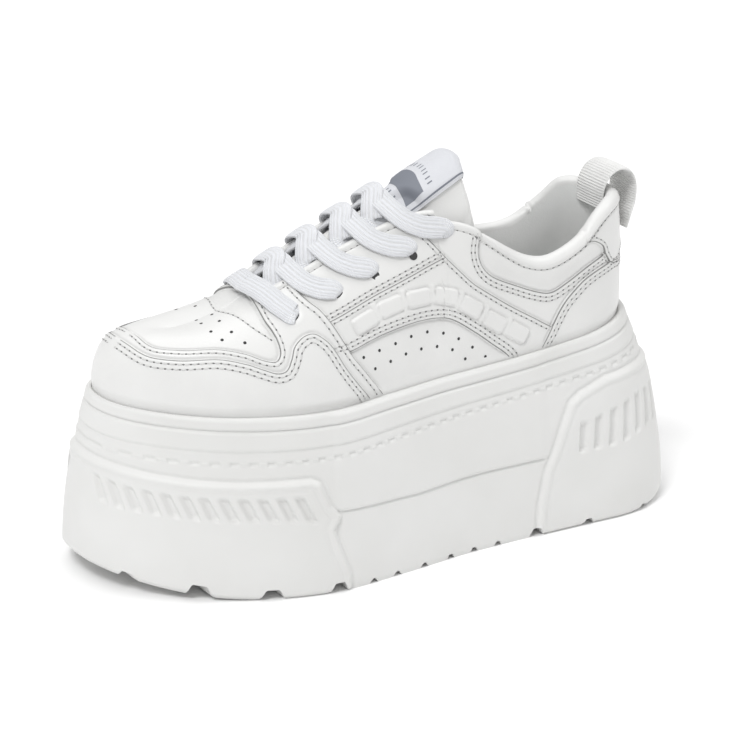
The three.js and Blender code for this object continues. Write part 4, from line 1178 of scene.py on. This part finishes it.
LACE_OVER = LACE_THICKNESS / 2 + LACE_CLEARANCE
LACE_UNDER = -UPPER_WALL - LACE_CLEARANCE - LACE_THICKNESS / 2
DRAWN_WIDTH, DRAWN_THICKNESS = LACE_WIDTH + 0.4, 2.0
END_WIDTHS = ([0, 0.015, 0.04, 0.08, 0.14, 1], [0.36, 0.56, 0.74, 0.88, 0.97, 0.97])
BAR_WIDTHS = ([0, 0.012, 0.03, 0.06, 0.9, 0.94, 0.97, 0.988, 1],
              [0.42, 0.62, 0.82, 1, 1, 1, 0.82, 0.62, 0.42])


def lace_strand(name, stops, nodes, widths, steps=120):
    """Lace over plan stops of (share, x, offset from the ridge, lift over the last)."""
    stops = np.array(stops, float)
    share = np.linspace(0, 1, steps)
    x, y, lift = (hermite(stops[:, 0], stops[:, k], share) for k in (1, 2, 3))
    centre, up = np.empty((steps, 3)), np.empty((steps, 3))
    for i in range(steps):
        place_on_last = on_last(x[i], y[i])
        s, side, phi = place_on_last
        up[i] = normal(station_t(np.array([s])), side, np.array([phi]))[0]
        centre[i] = last(*place_on_last) + up[i] * lift[i]
    for _ in range(6):
        up[1:-1] = unit(up[:-2] + up[1:-1] + up[2:])
    ahead = unit(np.gradient(centre, axis=0))
    across = unit(np.cross(ahead, up))
    up = unit(np.cross(across, ahead))
    crown = np.interp(share, *widths)
    ribbon(name, centre, across, up, DRAWN_WIDTH * crown, DRAWN_THICKNESS * np.sqrt(crown), LACE,
           nodes, 24)


def build_laces():
    for i in range(4):
        tx, ty, sweep = EYELETS[i + 1]
        reach = EYELETS[i][0] - tx
        for side, extra, over in ((1, 0.0, 0), (-1, 2.6, 1)):
            def at(share, along, y, lift):
                return (share, tx + along, side * y, lift)
            stops = [
                at(0.0, -1.6, ty + 1.0, -1.2), at(0.03, -0.9, ty + 0.3, 0.5),
                at(0.08, 0.8, ty - 0.6, LACE_OVER + 0.15),
                at(0.2, sweep * 0.5, ty * 0.86, LACE_OVER + 0.2),
                at(0.34, sweep * 0.84, ty * 0.66, LACE_OVER + 0.6),
                at(0.47, sweep * 1.0, ty * 0.34, LACE_OVER + 1.0 + extra * 0.5),
                at(0.58, sweep, 0, LACE_OVER + 0.6 + extra * 0.8),
                at(0.68, sweep + 3.2, -4.2, mix(0.4, LACE_OVER + 1.4, over)),
                at(0.77, sweep + 6.0, -8.0, mix(-1.2, 0.5, over)),
                at(0.85, sweep + 7.0, -10.8, mix(LACE_UNDER, -1.1, over)),
                at(0.92, mix(sweep + 7, reach, 0.4), -13.4, LACE_UNDER),
                at(1.0, reach, -18, LACE_UNDER)]
            lace_strand(f"lace_{i + 2}_{'lateral' if side > 0 else 'medial'}", stops,
                        (f"lace_cross_{i + 2}",) if side > 0 else (), END_WIDTHS)
    bx, by, sweep = EYELETS[0]
    half = [(0.0, -1.6, by + 1.0, -1.2), (0.025, -0.9, by + 0.3, 0.5),
            (0.07, 0.6, by - 0.6, LACE_OVER + 0.15),
            (0.18, sweep * 0.55, by * 0.75, LACE_OVER + 0.3),
            (0.34, sweep * 0.9, by * 0.35, LACE_OVER + 1.3), (0.5, sweep, 0, LACE_OVER + 1.9)]
    stops = [(h[0], bx + h[1], h[2], h[3]) for h in half]
    stops += [(1 - h[0], bx + h[1], -h[2], h[3]) for h in half[-2::-1]]
    lace_strand("lace_bar", stops, ("lace_bar_1",), BAR_WIDTHS)


build_laces()

# --- pull loop

WEAVE_RIB, WEAVE_PITCH = 0.16, 1.2


def build_loop():
    run = run_along(LOOP_PATH)
    at = np.linspace(0, run[-1], 420)
    x, z = hermite(run, LOOP_PATH[:, 0], at), hermite(run, LOOP_PATH[:, 1], at)
    centre = np.stack([x, np.zeros_like(x), z], 1)
    across = np.tile(np.array([0.0, 1.0, 0.0]), (len(at), 1))
    up = np.cross(unit(np.gradient(centre, axis=0)), across)
    ribbon("heel_loop", centre, across, up, LOOP_WIDTH, LOOP_THICKNESS, WEBBING,
           ("pull_loop",), 28, WEAVE_RIB * np.sin(at * 2 * np.pi / WEAVE_PITCH))


build_loop()
